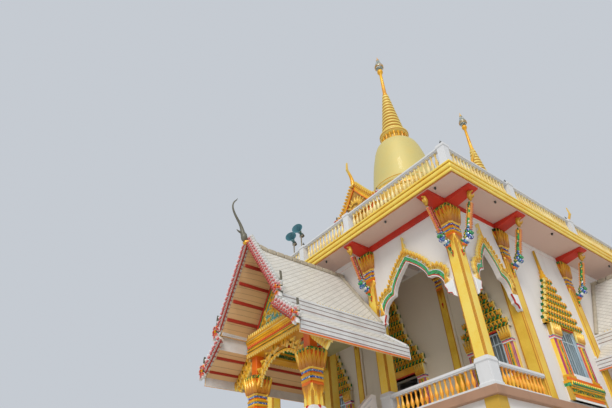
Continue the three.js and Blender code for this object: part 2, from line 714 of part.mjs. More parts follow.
function stair() {
  const riser = floorTop / riserCount;
  const treadCount = riserCount - 1;
  const steps = [[wallFace, 0], [wallFace, floorUnderside], [-slabNosing, floorUnderside]];
  for (let i = 0; i < treadCount; i += 1) {
    const height = riser * (treadCount - i);
    steps.push([-slabNosing - treadDepth * i, height], [-slabNosing - treadDepth * (i + 1), height]);
  }
  const foot = -slabNosing - treadDepth * treadCount;
  steps.push([foot, 0]);
  const newel = 200;
  const lineAt = (y) => floorTop + ((y + slabNosing) * riser) / treadDepth;
  const edge = [[-slabNosing, 0], [-slabNosing, floorTop + parapetRise],
    [-slabNosing - newel, floorTop + parapetRise], [foot + newel, lineAt(foot + newel) + parapetRise],
    [foot + newel, riser + parapetRise + 150], [foot - newel, riser + parapetRise + 150], [foot - newel, 0]];
  const holes = [];
  const bayCount = 3;
  const holeStart = -slabNosing - newel;
  const holeEnd = foot + newel;
  for (let i = 0; i < bayCount; i += 1) {
    const near = holeStart + ((holeEnd - holeStart) * i) / bayCount - newel / 2;
    const far = holeStart + ((holeEnd - holeStart) * (i + 1)) / bayCount + newel / 2;
    holes.push([[near, lineAt(near) + 120], [near, lineAt(near) + parapetRise - 110],
      [far, lineAt(far) + parapetRise - 110], [far, lineAt(far) + 120]]);
  }
  const inner = stairHalfWidth - parapetWidth;
  const flight = join([
    sideways(steps, -stairHalfWidth, stairHalfWidth),
    sideways(edge, -stairHalfWidth, -inner),
    sideways(edge, inner, stairHalfWidth),
  ]);
  return cut(flight, [
    ...holes.map((hole) => sideways(hole, -stairHalfWidth - 50, -inner + 50)),
    ...holes.map((hole) => sideways(hole, inner - 50, stairHalfWidth + 50)),
  ]);
}

// The front porch meets the veranda columns, the side porches meet the hall wall and its pilasters
function porch(group, name) {
  const clearance = 0.3;
  const meeting = name === 'front'
    ? { near: innerColumnX - 450, far: planHalfX, face: -110, back: screenFace }
    : { near: -pilasterYs[1] - halfColumn, far: -pilasterYs[1] + halfColumn, face: 0, back: wallFace };
  const { near, far, face, back } = meeting;
  const clear = [
    block(-far - clearance, -near + clearance, face - clearance, planHalfX, 0, soffit),
    block(near - clearance, far + clearance, face - clearance, planHalfX, 0, soffit),
    block(-planHalfX, planHalfX, back - clearance, planHalfX, 0, soffit),
  ];
  place(group, `${name}_porch_frame`, cut(porchFrame(), clear), goldPaint());
  place(group, `${name}_porch_roof`, cut(porchRoof(), clear), roofTile());
  place(group, `${name}_porch_boards`, gableBoards(), boardPaint());
  place(group, `${name}_porch_stair`, stair(), plaster());
}

lowerStorey();
hall();
verandaColumns();
verandaScreens();
verandaRails();
roofAndTerrace();
chedi('chedi_front', -chediY);
chedi('chedi_rear', chediY);
porch(frontFace, 'front');
porch(leftFace, 'left');
porch(rightFace, 'right');

export default temple;
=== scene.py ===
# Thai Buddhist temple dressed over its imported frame: plaster, gilding, mosaic, tiles and ornament
import json
import math

import bpy
from mathutils import Matrix, Vector

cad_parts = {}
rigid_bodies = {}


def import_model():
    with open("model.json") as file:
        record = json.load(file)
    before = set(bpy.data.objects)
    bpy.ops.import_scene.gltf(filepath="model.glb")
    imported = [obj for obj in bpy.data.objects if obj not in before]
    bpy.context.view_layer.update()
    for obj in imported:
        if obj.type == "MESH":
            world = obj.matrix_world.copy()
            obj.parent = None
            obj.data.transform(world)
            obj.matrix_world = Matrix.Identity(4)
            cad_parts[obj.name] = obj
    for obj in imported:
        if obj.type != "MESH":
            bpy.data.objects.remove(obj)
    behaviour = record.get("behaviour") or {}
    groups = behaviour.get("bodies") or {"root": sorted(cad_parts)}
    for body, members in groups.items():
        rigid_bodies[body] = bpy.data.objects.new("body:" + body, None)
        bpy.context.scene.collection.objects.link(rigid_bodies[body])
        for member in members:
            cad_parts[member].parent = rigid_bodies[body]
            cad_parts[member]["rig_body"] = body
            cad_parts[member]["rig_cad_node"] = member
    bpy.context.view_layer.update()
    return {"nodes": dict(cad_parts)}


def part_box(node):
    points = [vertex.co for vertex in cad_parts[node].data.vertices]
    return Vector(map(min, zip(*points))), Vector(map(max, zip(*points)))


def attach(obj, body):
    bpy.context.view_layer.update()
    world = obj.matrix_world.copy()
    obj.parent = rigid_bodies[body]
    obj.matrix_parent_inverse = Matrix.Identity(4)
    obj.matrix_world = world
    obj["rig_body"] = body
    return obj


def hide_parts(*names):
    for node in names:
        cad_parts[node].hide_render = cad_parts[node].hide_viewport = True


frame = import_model()

# Levels and planes read from the frame, in metres
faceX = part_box("lower_wall_right")[1].x
faceY = -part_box("lower_wall_front")[0].y
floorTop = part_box("upper_floor")[1].z
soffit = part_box("roof_slab")[0].z
corniceX, corniceY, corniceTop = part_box("roof_slab")[1]
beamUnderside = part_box("ceiling_beams")[0].z
chediY = (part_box("chedi_rear_bell")[0].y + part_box("chedi_rear_bell")[1].y) / 2
columnHalf = 0.215
columnX = faceX - columnHalf
innerX = 1.42
columnXs = (-columnX, -innerX, innerX, columnX)
cornerY = faceY - columnHalf
pilasterYs = (-6.707, -2.367, 2.367, 6.707)
hallFront = -6.707
hallShift = cornerY + hallFront  # how far the hall's front pilasters stand behind the column faces
wallSetback = 0.06
frameProud = 0.13
quarterTurn = math.pi / 2


# Camera at the photograph's viewing angle
cameraPlace = {
    "position": (12.87, -22.03, 1.59),
    "yaw": 50.194,
    "pitch": 36.894,
    "roll": -3.634,
    "lens": 29.6,
    "sensor": 36,
}


def addCamera(place):
    yaw, pitch, roll = (math.radians(place[key]) for key in ("yaw", "pitch", "roll"))
    forward = Vector((-math.sin(yaw) * math.cos(pitch), math.cos(yaw) * math.cos(pitch), math.sin(pitch)))
    right = Vector((math.cos(yaw), math.sin(yaw), 0))
    down = forward.cross(right)
    across = right * math.cos(roll) - down * math.sin(roll)
    below = right * math.sin(roll) + down * math.cos(roll)
    turn = Matrix((across, -below, -forward)).transposed()
    data = bpy.data.cameras.new("camera")
    data.lens = place["lens"]
    data.sensor_width = place["sensor"]
    data.clip_end = 500
    camera = bpy.data.objects.new("camera", data)
    bpy.context.scene.collection.objects.link(camera)
    camera.matrix_world = Matrix.Translation(place["position"]) @ turn.to_4x4()
    bpy.context.scene.camera = camera


# Shader maths: a socket that can be used in Python expressions
class Shade:
    def __init__(self, finish, socket):
        self.finish = finish
        self.socket = socket

    def maths(self, operation, *values):
        made = self.finish.node("ShaderNodeMath", {"operation": operation}, dict(enumerate(values)))
        return Shade(self.finish, made.outputs[0])

    def __add__(self, other):
        return self.maths("ADD", self, other)

    def __radd__(self, other):
        return self.maths("ADD", other, self)

    def __sub__(self, other):
        return self.maths("SUBTRACT", self, other)

    def __rsub__(self, other):
        return self.maths("SUBTRACT", other, self)

    def __mul__(self, other):
        return self.maths("MULTIPLY", self, other)

    def __truediv__(self, other):
        return self.maths("DIVIDE", self, other)

    def __gt__(self, other):
        return self.maths("GREATER_THAN", self, other)

    def __lt__(self, other):
        return self.maths("LESS_THAN", self, other)

    def __abs__(self):
        return self.maths("ABSOLUTE", self)

    def fraction(self):
        return self.maths("FRACT", self)

    def floor(self):
        return self.maths("FLOOR", self)

    def clamped(self):
        made = self.finish.node("ShaderNodeClamp", {}, {0: self})
        return Shade(self.finish, made.outputs[0])


class Finish:
    def __init__(self, name, roughness=0.6, metallic=0.0, coat=0.0):
        self.material = bpy.data.materials.new(name)
        self.material.use_nodes = True
        self.tree = self.material.node_tree
        self.shader = self.tree.nodes["Principled BSDF"]
        self.shader.inputs["Roughness"].default_value = roughness
        self.shader.inputs["Metallic"].default_value = metallic
        self.shader.inputs["Coat Weight"].default_value = coat
        self.place = self.node("ShaderNodeTexCoord").outputs["Object"]

    def node(self, kind, settings=None, inputs=None):
        made = self.tree.nodes.new(kind)
        for key, value in (settings or {}).items():
            if key == "stops":
                self.setStops(made.color_ramp, value)
            else:
                setattr(made, key, value)
        for key, value in (inputs or {}).items():
            self.feed(made.inputs[key], value)
        return made

    def setStops(self, ramp, stops):
        ramp.interpolation = "CONSTANT"
        while len(ramp.elements) < len(stops):
            ramp.elements.new(1.0)
        for element, (position, tint) in zip(ramp.elements, stops):
            element.position = position
            element.color = (*colours.get(tint, tint), 1)

    def feed(self, socket, value):
        if isinstance(value, Shade):
            value = value.socket
        if isinstance(value, bpy.types.NodeSocket):
            self.tree.links.new(value, socket)
        elif socket.type == "RGBA":
            socket.default_value = (*colours.get(value, value), 1)
        else:
            socket.default_value = value

    def axes(self):
        parted = self.node("ShaderNodeSeparateXYZ", {}, {0: self.place})
        return [Shade(self, output) for output in parted.outputs]

    def attribute(self, name):
        return Shade(self, self.node("ShaderNodeAttribute", {"attribute_name": name}).outputs["Fac"])

    def noise(self, scale, detail=3.0, stretch=(1, 1, 1)):
        spread = self.node("ShaderNodeMapping", {}, {"Vector": self.place, "Scale": stretch})
        made = self.node("ShaderNodeTexNoise", {},
                         {"Vector": spread.outputs[0], "Scale": scale, "Detail": detail})
        return Shade(self, made.outputs["Fac"])

    def mix(self, factor, first, second):
        made = self.node("ShaderNodeMix", {"data_type": "RGBA"}, {0: factor, 6: first, 7: second})
        return made.outputs[2]

    def paint(self, tint):
        self.feed(self.shader.inputs["Base Color"], tint)

    def rough(self, value):
        self.feed(self.shader.inputs["Roughness"], value)

    def bump(self, height, distance, strength=1.0):
        made = self.node("ShaderNodeBump", {},
                         {"Height": height, "Distance": distance, "Strength": strength})
        self.feed(self.shader.inputs["Normal"], made.outputs[0])


# Colours a user would change, as linear light
colours = {
    "plaster": (0.78, 0.735, 0.69),
    "plasterStain": (0.55, 0.49, 0.42),
    "railWhite": (0.68, 0.68, 0.68),
    "railGrime": (0.30, 0.30, 0.29),
    "gold": (0.93, 0.50, 0.010),
    "goldDeep": (0.60, 0.21, 0.004),
    "corniceGold": (0.93, 0.71, 0.13),
    # painted shade: dark red-brown for the cornice's recessed bands
    "corniceDark": (0.42, 0.13, 0.008),
    "columnGold": (0.90, 0.56, 0.025),
    "columnPale": (0.92, 0.70, 0.14),
    "bellGold": (0.58, 0.50, 0.18),
    "orange": (0.80, 0.17, 0.004),
    "red": (0.60, 0.028, 0.008),
    "redDark": (0.25, 0.012, 0.008),
    "green": (0.003, 0.36, 0.06),
    "darkGreen": (0.004, 0.10, 0.03),
    "teal": (0.06, 0.40, 0.40),
    "blue": (0.015, 0.05, 0.45),
    "white": (0.80, 0.80, 0.78),
    "pink": (0.80, 0.16, 0.20),
    "purple": (0.42, 0.03, 0.16),
    # soffit: darker and pinker than the plaster, painted shade with warm bounce light under the eave
    "soffit": (0.66, 0.47, 0.39),
    "slabEdge": (0.40, 0.225, 0.14),
    "tile": (0.70, 0.68, 0.62),
    "tileJoint": (0.36, 0.33, 0.28),
    "ridge": (0.47, 0.41, 0.31),
    "boards": (0.78, 0.50, 0.24),
    "chofa": (0.15, 0.14, 0.10),
    # ceiling: olive-brown painted shade for the porch ceiling
    "ceiling": (0.40, 0.36, 0.18),
    "cement": (0.52, 0.49, 0.44),
    "glass": (0.20, 0.25, 0.26),
    "frame": (0.55, 0.66, 0.72),
    "lamp": (0.05, 0.055, 0.05),
    "speaker": (0.07, 0.20, 0.24),
}


def blend(first, second, share):
    first, second = colours.get(first, first), colours.get(second, second)
    return tuple(a * (1 - share) + b * share for a, b in zip(first, second))


def plasterFinish(name, clean, stain, gilded=False):
    finish = Finish(name, roughness=0.85)
    patches = finish.noise(0.32, 5)
    streaks = finish.noise(1.5, 4, (1, 1, 0.14))
    marks = finish.noise(7.0, 5)
    dirt = ((patches - 0.52) * 1.7).clamped() * 0.5 + ((streaks - 0.57) * 2.2).clamped() * 0.55
    dirt = (dirt + ((marks - 0.62) * 1.5).clamped() * 0.4).clamped()
    tint = finish.mix(dirt, clean, stain)
    if gilded:
        # faces at or beyond the outer wall line take a darker ochre-gold: the plates round the upper
        # windows and the outer faces of the lower walls
        x, y, _ = finish.axes()
        onSide = (abs(x) > faceX - 0.03) * (abs(y) < faceY + 0.02)
        onEnd = (abs(y) > faceY - 0.03) * (abs(x) < faceX + 0.02)
        face = (onSide + onEnd).clamped()
        gilt = finish.mix(finish.noise(3.0, 4), (0.62, 0.40, 0.06), (0.50, 0.27, 0.02))
        tint = finish.mix(face, tint, gilt)
    finish.paint(tint)
    finish.rough(0.8 + dirt * 0.15)
    finish.bump(finish.noise(38, 4) + marks * 0.6, 0.004, 0.5)
    return finish.material


def giltFinish(name, light, deep, metallic=0.15, roughness=0.42, spread=2.4):
    finish = Finish(name, roughness=roughness, metallic=metallic, coat=0.15)
    cloud = finish.noise(1.7, 5)
    grain = finish.noise(26, 4)
    shade = ((cloud - 0.5) * spread + (grain - 0.5) * 0.9 + 0.35).clamped()
    finish.paint(finish.mix(shade, light, deep))
    finish.rough(roughness - 0.06 + grain * 0.14)
    finish.bump(grain, 0.003, 0.5)
    return finish.material


def leafFinish(name, root, tip, edge):
    # ornament painted deeper at its root and lighter towards its tip, with a paler colour on its rims as a
    # painted highlight
    finish = Finish(name, roughness=0.4, metallic=0.15, coat=0.2)
    rise = finish.attribute("rise")
    grain = finish.noise(34, 3)
    tint = finish.mix((rise * 1.5 + (grain - 0.5) * 0.6 - 0.15).clamped(), root, tip)
    # painted highlight: the edge colour on the rims
    tint = finish.mix(((finish.attribute("edge") - 0.5) * 4).clamped(), tint, edge)
    finish.paint(tint)
    finish.bump(grain, 0.004, 0.5)
    return finish.material


def mosaicFinish(name, stops, scale=24, roughness=0.22):
    finish = Finish(name, roughness=roughness, metallic=0.25, coat=0.4)
    cells = finish.node("ShaderNodeTexVoronoi", {},
                        {"Vector": finish.place, "Scale": scale, "Randomness": 0.75})
    pick = Shade(finish, finish.node("ShaderNodeSeparateColor", {}, {0: cells.outputs["Color"]}).outputs[0])
    ramp = finish.node("ShaderNodeValToRGB", {"stops": stops}, {0: pick})
    edges = finish.node(
        "ShaderNodeTexVoronoi",
        {"feature": "DISTANCE_TO_EDGE"},
        {"Vector": finish.place, "Scale": scale, "Randomness": 0.75},
    )
    joint = (Shade(finish, edges.outputs["Distance"]) < 0.05) * 0.55
    finish.paint(finish.mix(joint, ramp.outputs[0], (0.22, 0.17, 0.10)))
    finish.rough(roughness + joint * 0.5)
    finish.bump(edges.outputs["Distance"], 0.006, 0.6)
    return finish.material


def courseFinish(name, tileTint, jointTint, size):
    # tiles laid on the diagonal, along the roof's own map
    finish = Finish(name, roughness=0.6, coat=0.1)
    where = finish.node("ShaderNodeUVMap", {"uv_map": "tiles"})
    parted = finish.node("ShaderNodeSeparateXYZ", {}, {0: where.outputs[0]})
    along, down = Shade(finish, parted.outputs[0]), Shade(finish, parted.outputs[1])
    first = (along * 0.85 + down) / size
    second = (along * 0.85 - down) / size
    groove = ((first.fraction() < 0.13) + (second.fraction() < 0.045)).clamped()
    cell = finish.node("ShaderNodeCombineXYZ", {}, {0: first.floor(), 1: second.floor()})
    chance = Shade(finish, finish.node("ShaderNodeTexWhiteNoise", {},
                                       {0: cell.outputs[0]}).outputs["Value"])
    weather = ((finish.noise(0.7, 5) - 0.5) * 2.4).clamped()
    grime = ((finish.noise(4.0, 5, (1, 1, 0.4)) - 0.55) * 1.6).clamped()
    tint = finish.mix(chance * 0.55, tileTint, blend(tileTint, jointTint, 0.35))
    tint = finish.mix((weather * 0.45 + grime * 0.5).clamped(), tint, blend(tileTint, jointTint, 0.75))
    finish.paint(finish.mix(groove * 0.75, tint, jointTint))
    finish.bump(1 - groove, 0.012, 0.6)
    return finish.material


def linedFinish(name, ground, line, pitch, share, roughness=0.6):
    # boards or mouldings with fine level joints at a fixed pitch
    finish = Finish(name, roughness=roughness)
    joint = (finish.axes()[2] / pitch).fraction() < share
    cloud = finish.noise(1.3, 5)
    tint = finish.mix(((cloud - 0.42) * 1.3).clamped(), ground, blend(ground, line, 0.3))
    finish.paint(finish.mix(joint * 0.8, tint, line))
    finish.bump(1 - joint, 0.006, 0.5)
    return finish.material


def wornFinish(name, light, dark, roughness=0.5, metallic=0.0, scale=2.5, bumpSize=0.004):
    finish = Finish(name, roughness=roughness, metallic=metallic)
    cloud = finish.noise(scale, 5)
    grain = finish.noise(scale * 14, 4)
    finish.paint(finish.mix(((cloud - 0.42) * 1.8 + (grain - 0.5) * 0.5).clamped(), light, dark))
    finish.rough(roughness - 0.05 + grain * 0.15)
    finish.bump(grain, bumpSize, 0.5)
    return finish.material


def glassFinish(name, deep, pale):
    finish = Finish(name, coat=0.3)
    # pale patches painted on the glass as reflections; they also raise its roughness
    paintedSheen = finish.noise(0.5, 3)
    finish.paint(finish.mix(((paintedSheen - 0.4) * 2).clamped(), deep, pale))
    finish.rough(0.12 + paintedSheen * 0.10)
    finish.bump(finish.noise(1.2, 2), 0.002, 0.4)
    return finish.material


# What each finish is made from: colour names or colours, then roughness and the like
recipes = {
    plasterFinish: {
        "plaster": ("plaster", "plasterStain"),
        "wall": ("plaster", "plasterStain", True),
        "rail": ("railWhite", "railGrime"),
        # the front hall wall under the veranda roof: darker, warmer plaster as painted shade, over the
        # plaster's stains
        "verandaWall": ((0.74, 0.66, 0.52), (0.46, 0.38, 0.24)),
        # the eave's underside, painted as shade with warm bounce light
        "soffit": ("soffit", blend("soffit", "plasterStain", 0.8)),
    },
    giltFinish: {
        "cornice": ("corniceGold", (0.90, 0.56, 0.05)),
        "columnGold": ("columnPale", "columnGold"),
        "pilasterGold": ((0.84, 0.56, 0.06), (0.70, 0.40, 0.02), 0.1, 0.5),
        "gold": ("gold", "goldDeep", 0.2),
        "bell": ("bellGold", blend("bellGold", "gold", 0.22), 0.1, 0.55, 1.2),
        "goldBrown": ((0.62, 0.34, 0.02), (0.34, 0.15, 0.01), 0.1, 0.5, 2.0),
        "balusterGold": ((0.84, 0.70, 0.32), (0.66, 0.38, 0.03), 0.05, 0.5, 2.2),
        "balusterOrange": ((0.90, 0.50, 0.04), "orange", 0.1, 0.45, 2.2),
        "chediGold": ((0.74, 0.55, 0.14), (0.80, 0.42, 0.02), 0.1, 0.5, 1.6),
    },
    # root, tip and rim colours; the rim colour is a painted highlight
    leafFinish: {
        "leaf": ((0.62, 0.27, 0.008), (0.90, 0.56, 0.05), (0.92, 0.74, 0.24)),
        "capitalLeaf": ((0.45, 0.14, 0.004), (0.86, 0.40, 0.008), (0.92, 0.62, 0.08)),
        "tierLeaf": ((0.50, 0.16, 0.004), (0.92, 0.46, 0.01), (0.95, 0.66, 0.10)),
        "greenLeaf": ("darkGreen", "green", "gold"),
        "orangeLeaf": ("red", "orange", "gold"),
        "boardLeaf": ((0.55, 0.05, 0.04), "white", (0.72, 0.72, 0.68)),
        "pinkLeaf": ((0.45, 0.03, 0.02), (0.64, 0.17, 0.14), (0.78, 0.72, 0.66)),
        "finLeaf": ("redDark", "pink", (0.80, 0.34, 0.10)),
    },
    mosaicFinish: {
        "green": ([(0, "green"), (0.55, blend("green", "teal", 0.4)), (0.9, "darkGreen")],),
        "darkGreen": ([(0, "darkGreen"), (0.5, "green"), (0.8, "gold")], 30),
        "blue": ([(0, "blue"), (0.5, "teal"), (0.75, "white"), (0.9, "blue")], 30),
        "teal": ([(0, "teal"), (0.5, (0.22, 0.5, 0.52)), (0.85, "white")], 26),
        "naga": ([(0, "green"), (0.40, "darkGreen"), (0.66, "gold"), (0.88, "white")], 17),
        "scroll": ([(0, (0.80, 0.46, 0.03)), (0.5, "columnPale"), (0.80, (0.60, 0.26, 0.02)),
                    (0.88, "white")], 15, 0.4),
        "budMosaic": ([(0, (0.20, 0.26, 0.22)), (0.5, "white"), (0.72, (0.10, 0.14, 0.12))], 22),
    },
    courseFinish: {"tiles": ("tile", "tileJoint", 0.21)},
    linedFinish: {
        "spire": ((0.80, 0.60, 0.13), (0.50, 0.20, 0.01), 0.28, 0.20, 0.42),
        "boardPaint": ((0.60, 0.60, 0.52), (0.42, 0.05, 0.05), 0.12, 0.30),
        "boards": ("boards", (0.36, 0.20, 0.09), 0.155, 0.07),
    },
    wornFinish: {
        # painted shade in the cornice's recessed bands
        "corniceDark": ("corniceDark", "redDark"),
        "orange": ("orange", "red", 0.45),
        "red": ("red", "redDark", 0.55, 0.0, 1.1),
        "white": ("white", blend("white", "railGrime", 0.4)),
        "pink": ("pink", "red"),
        "purple": ("purple", "pink", 0.5, 0.0, 5.0),
        "windowGreen": ("darkGreen", "green", 0.4, 0.1),
        "tympanum": ((0.42, 0.20, 0.03), (0.60, 0.34, 0.05), 0.5, 0.2, 7.0),
        "slabEdge": ("slabEdge", blend("slabEdge", (0.2, 0.12, 0.08), 0.5), 0.75),
        "ridge": ("ridge", blend("ridge", (0.15, 0.12, 0.08), 0.6), 0.7, 0.0, 5.0),
        "fascia": ((0.70, 0.70, 0.69), (0.46, 0.45, 0.43), 0.6, 0.0, 1.6),
        "lineRed": ((0.33, 0.12, 0.08), (0.45, 0.09, 0.04), 0.6),
        "chofa": ("chofa", (0.07, 0.06, 0.04), 0.45, 0.1, 4.0),
        # painted shade on the porch ceiling
        "ceiling": ("ceiling", blend("ceiling", (0.1, 0.1, 0.05), 0.4), 0.7),
        "cement": ("cement", blend("cement", (0.2, 0.18, 0.15), 0.5), 0.85, 0.0, 1.2, 0.006),
        "aluminium": ("frame", blend("frame", (0.3, 0.35, 0.4), 0.5), 0.35, 0.6),
        "lamp": ("lamp", (0.18, 0.18, 0.16), 0.4, 0.3),
        "speaker": ("speaker", (0.05, 0.14, 0.18), 0.4, 0.1),
        "columnLine": ((0.52, 0.19, 0.01), (0.62, 0.30, 0.015)),
        "purlin": ((0.42, 0.03, 0.012), (0.24, 0.015, 0.01), 0.6, 0.0, 1.2),
    },
    glassFinish: {"glass": ("glass", (0.34, 0.38, 0.37))},
}
finishes = {name: make(name, *values) for make, rows in recipes.items() for name, values in rows.items()}
print("finishes ready")


# Making pieces with Blender's own operators
def pickOnly(piece):
    bpy.ops.object.select_all(action="DESELECT")
    piece.select_set(True)
    bpy.context.view_layer.objects.active = piece


def settle(piece):
    # puts the object's place into its mesh
    piece.data.transform(piece.matrix_world)
    piece.matrix_world = Matrix.Identity(4)
    return piece


def coat(piece, finish):
    piece.data.materials.clear()
    piece.data.materials.append(finishes[finish])
    return piece


def soften(piece, width, segments=1):
    bevel = piece.modifiers.new("edges", "BEVEL")
    bevel.width = width
    bevel.segments = segments
    bevel.limit_method = "ANGLE"
    pickOnly(piece)
    bpy.ops.object.modifier_apply(modifier=bevel.name)
    return piece


def block(low, high, finish, edge=0.0, segments=1):
    middle = [(a + b) / 2 for a, b in zip(low, high)]
    size = [abs(b - a) for a, b in zip(low, high)]
    bpy.ops.mesh.primitive_cube_add(size=1, location=middle, scale=size)
    piece = settle(bpy.context.object)
    if edge:
        soften(piece, edge, segments)
    return coat(piece, finish)


def blocks(*rows):
    # rows of left, right, front, back, low and high, then what block takes for looks
    return [block((left, front, low), (right, back, high), *looks)
            for left, right, front, back, low, high, *looks in rows]


def bars(*rows):
    # the same for blocks centred on x = 0
    return blocks(*[(-half, half, *rest) for half, *rest in rows])


def closeMesh():
    # turns every face outwards and leaves edit mode
    bpy.ops.mesh.select_all(action="SELECT")
    bpy.ops.mesh.normals_make_consistent(inside=False)
    bpy.ops.object.mode_set(mode="OBJECT")


def stack(rings, at):
    # raises the face of the active mesh ring by ring: each ring is (half width, height)
    half, height = rings[0]
    bpy.ops.object.mode_set(mode="EDIT")
    for nextHalf, nextHeight in rings[1:]:
        bpy.ops.mesh.extrude_region_move(TRANSFORM_OT_translate={"value": (0, 0, nextHeight - height)})
        share = nextHalf / half
        if abs(share - 1) > 1e-6:
            bpy.ops.transform.resize(value=(share, share, 1), center_override=(*at, nextHeight))
        half, height = nextHalf, nextHeight
    closeMesh()
    return settle(bpy.context.object)


def turned(rings, sides, finish, at=(0, 0), smooth=True):
    # a turned form, or a square one of four sides
    grow = 1 / math.cos(math.pi / sides) if sides < 9 else 1
    radius, height = rings[0]
    bpy.ops.mesh.primitive_circle_add(vertices=sides, radius=radius * grow, fill_type="NGON",
                                      location=(*at, height), rotation=(0, 0, math.pi / sides))
    piece = stack(rings, at)
    if smooth:
        smoothed(piece)
    return coat(piece, finish)


def steppedPrism(rings, finish, step=0.2):
    # a stacked form whose plan is a square with stepped corners
    inner = 1 - step
    plan = []
    for c, s in ((1, 0), (0, 1), (-1, 0), (0, -1)):
        plan += [(x * c - y * s, x * s + y * c) for x, y in ((1, -inner), (1, inner), (inner, inner))]
    half, height = rings[0]
    bpy.ops.mesh.primitive_circle_add(vertices=len(plan), radius=1, fill_type="NGON")
    for vertex, (x, y) in zip(bpy.context.object.data.vertices, plan):
        vertex.co = (x * half, y * half, height)
    return coat(stack(rings, (0, 0)), finish)


def smoothed(piece, angle=38):
    pickOnly(piece)
    bpy.ops.object.shade_smooth_by_angle(angle=math.radians(angle))
    return piece


def cutout(outline, front, back, finish, puff=0.0, inset=0.0):
    # an outline in X and Z with its front face towards -Y, which a puff swells outwards
    bpy.ops.mesh.primitive_circle_add(vertices=len(outline), radius=1, fill_type="NGON")
    piece = bpy.context.object
    for vertex, (x, z) in zip(piece.data.vertices, outline):
        vertex.co = (x, back, z)
    bpy.ops.object.mode_set(mode="EDIT")
    bpy.ops.mesh.extrude_region_move(TRANSFORM_OT_translate={"value": (0, front - back, 0)})
    if puff:
        bpy.ops.mesh.inset(thickness=inset)
        bpy.ops.transform.translate(value=(0, -puff, 0))
    closeMesh()
    return coat(piece, finish)


def drawn(points, radii, finish, sides=6):
    # a tapering round stroke along a path
    curve = bpy.data.curves.new("stroke", "CURVE")
    curve.dimensions = "3D"
    curve.bevel_depth = 1.0
    curve.bevel_resolution = (sides - 4) // 2
    curve.resolution_u = 4
    curve.use_fill_caps = True
    spline = curve.splines.new("NURBS")
    spline.points.add(len(points) - 1)
    for point, place, radius in zip(spline.points, points, radii):
        point.co = (*place, 1)
        point.radius = radius
    spline.order_u = 3
    spline.use_endpoint_u = True
    stroke = bpy.data.objects.new("stroke", curve)
    bpy.context.scene.collection.objects.link(stroke)
    pickOnly(stroke)
    bpy.ops.object.convert(target="MESH")
    bpy.ops.object.mode_set(mode="EDIT")
    bpy.ops.mesh.select_all(action="SELECT")
    bpy.ops.mesh.remove_doubles(threshold=0.0004)
    closeMesh()
    return coat(smoothed(bpy.context.object, 60), finish)


def mark(piece, low, high):
    # stores how far up each point of an ornament lies, and whether it lies on the rim, where a highlight is
    # painted
    rise = piece.data.attributes.new("rise", "FLOAT", "POINT")
    rim = piece.data.attributes.new("edge", "FLOAT", "POINT")
    depth = min(vertex.co.y for vertex in piece.data.vertices)
    for vertex, up, side in zip(piece.data.vertices, rise.data, rim.data):
        up.value = (vertex.co.z - low) / (high - low)
        side.value = 1.0 if vertex.co.y > depth + 1e-4 else 0.0
    return piece


def bound(parts):
    # one mesh of several
    bpy.ops.object.select_all(action="DESELECT")
    for part in parts:
        part.select_set(True)
    bpy.context.view_layer.objects.active = parts[0]
    if len(parts) > 1:
        bpy.ops.object.join()
    return bpy.context.view_layer.objects.active


def twin(piece, matrix):
    copied = piece.copy()
    copied.data = piece.data.copy()
    bpy.context.scene.collection.objects.link(copied)
    copied.data.transform(matrix)
    if matrix.determinant() < 0:
        copied.data.flip_normals()
    return copied


def discard(*pieces):
    for piece in pieces:
        bpy.data.objects.remove(piece)


def scattered(piece, matrices):
    # copies of one modelled shape, each with its own mesh, bound into one
    copies = [twin(piece, matrix) for matrix in matrices]
    discard(piece)
    return bound(copies)


def moved(piece, matrix):
    piece.data.transform(matrix)
    return piece


def shift(x=0.0, y=0.0, z=0.0):
    return Matrix.Translation((x, y, z))


def spin(angle, axis="Z"):
    return Matrix.Rotation(angle, 4, axis)


def scale(x=1.0, y=1.0, z=1.0):
    return Matrix.Diagonal((x, y, z, 1))


mirrorX = scale(-1, 1, 1)

# Each face's own frame: X along the face, -Y outwards, Y = 0 in the plane of the column faces
faces = {
    "front": shift(y=-faceY),
    "rear": shift(y=faceY) @ spin(math.pi),
    "left": shift(-faceX) @ spin(-quarterTurn),
    "right": shift(faceX) @ spin(quarterTurn),
}


def mirrored(parts):
    return [*parts, *[twin(part, mirrorX) for part in parts]]


def publish(piece, name, slotName, *nodes, side=None):
    if side:
        moved(piece, faces[side])
    piece.name = name
    piece.data.name = name
    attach(piece, "root")
    if nodes:
        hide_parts(*nodes)


# Small ornaments that are modelled once and copied
def closedOutline(half):
    return half + [(-x, z) for x, z in reversed(half)]


def flameLeaf(finish):
    outline = closedOutline([(0.5, 0), (0.56, 0.22), (0.40, 0.50), (0.16, 0.72), (0.04, 1.0)])
    return mark(cutout(outline, -0.16, 0, finish, 0.16, 0.13), 0, 1)


def curlLeaf(finish):
    outline = [(-0.42, 0), (0.42, 0), (0.62, 0.24), (0.50, 0.50), (0.66, 0.66), (0.62, 1.02), (0.36, 0.84),
               (-0.04, 0.66), (-0.34, 0.36)]
    return mark(cutout(outline, -0.16, 0, finish, 0.12, 0.08), 0, 1)


def leafRow(width, pitch, height, depth, finish, down=False, fill=0.98):
    # a row of upright leaves centred on x = 0, standing on z = 0
    count = max(2, round(width / pitch))
    step = width / count
    sizes = scale(step * fill, depth / 0.3, -height if down else height)
    places = [shift(-width / 2 + step * (i + 0.5)) @ sizes for i in range(count)]
    return scattered(flameLeaf(finish), places)


def ballFinial(at, height, size, finish):
    rings = [(0.5, 0), (0.34, 0.25), (0.5, 0.5), (0.62, 0.9), (0.55, 1.3), (0.3, 1.55), (0.14, 1.9),
             (0.03, 2.5)]
    return turned([(r * size, height + z * size) for r, z in rings], 10, finish, at)


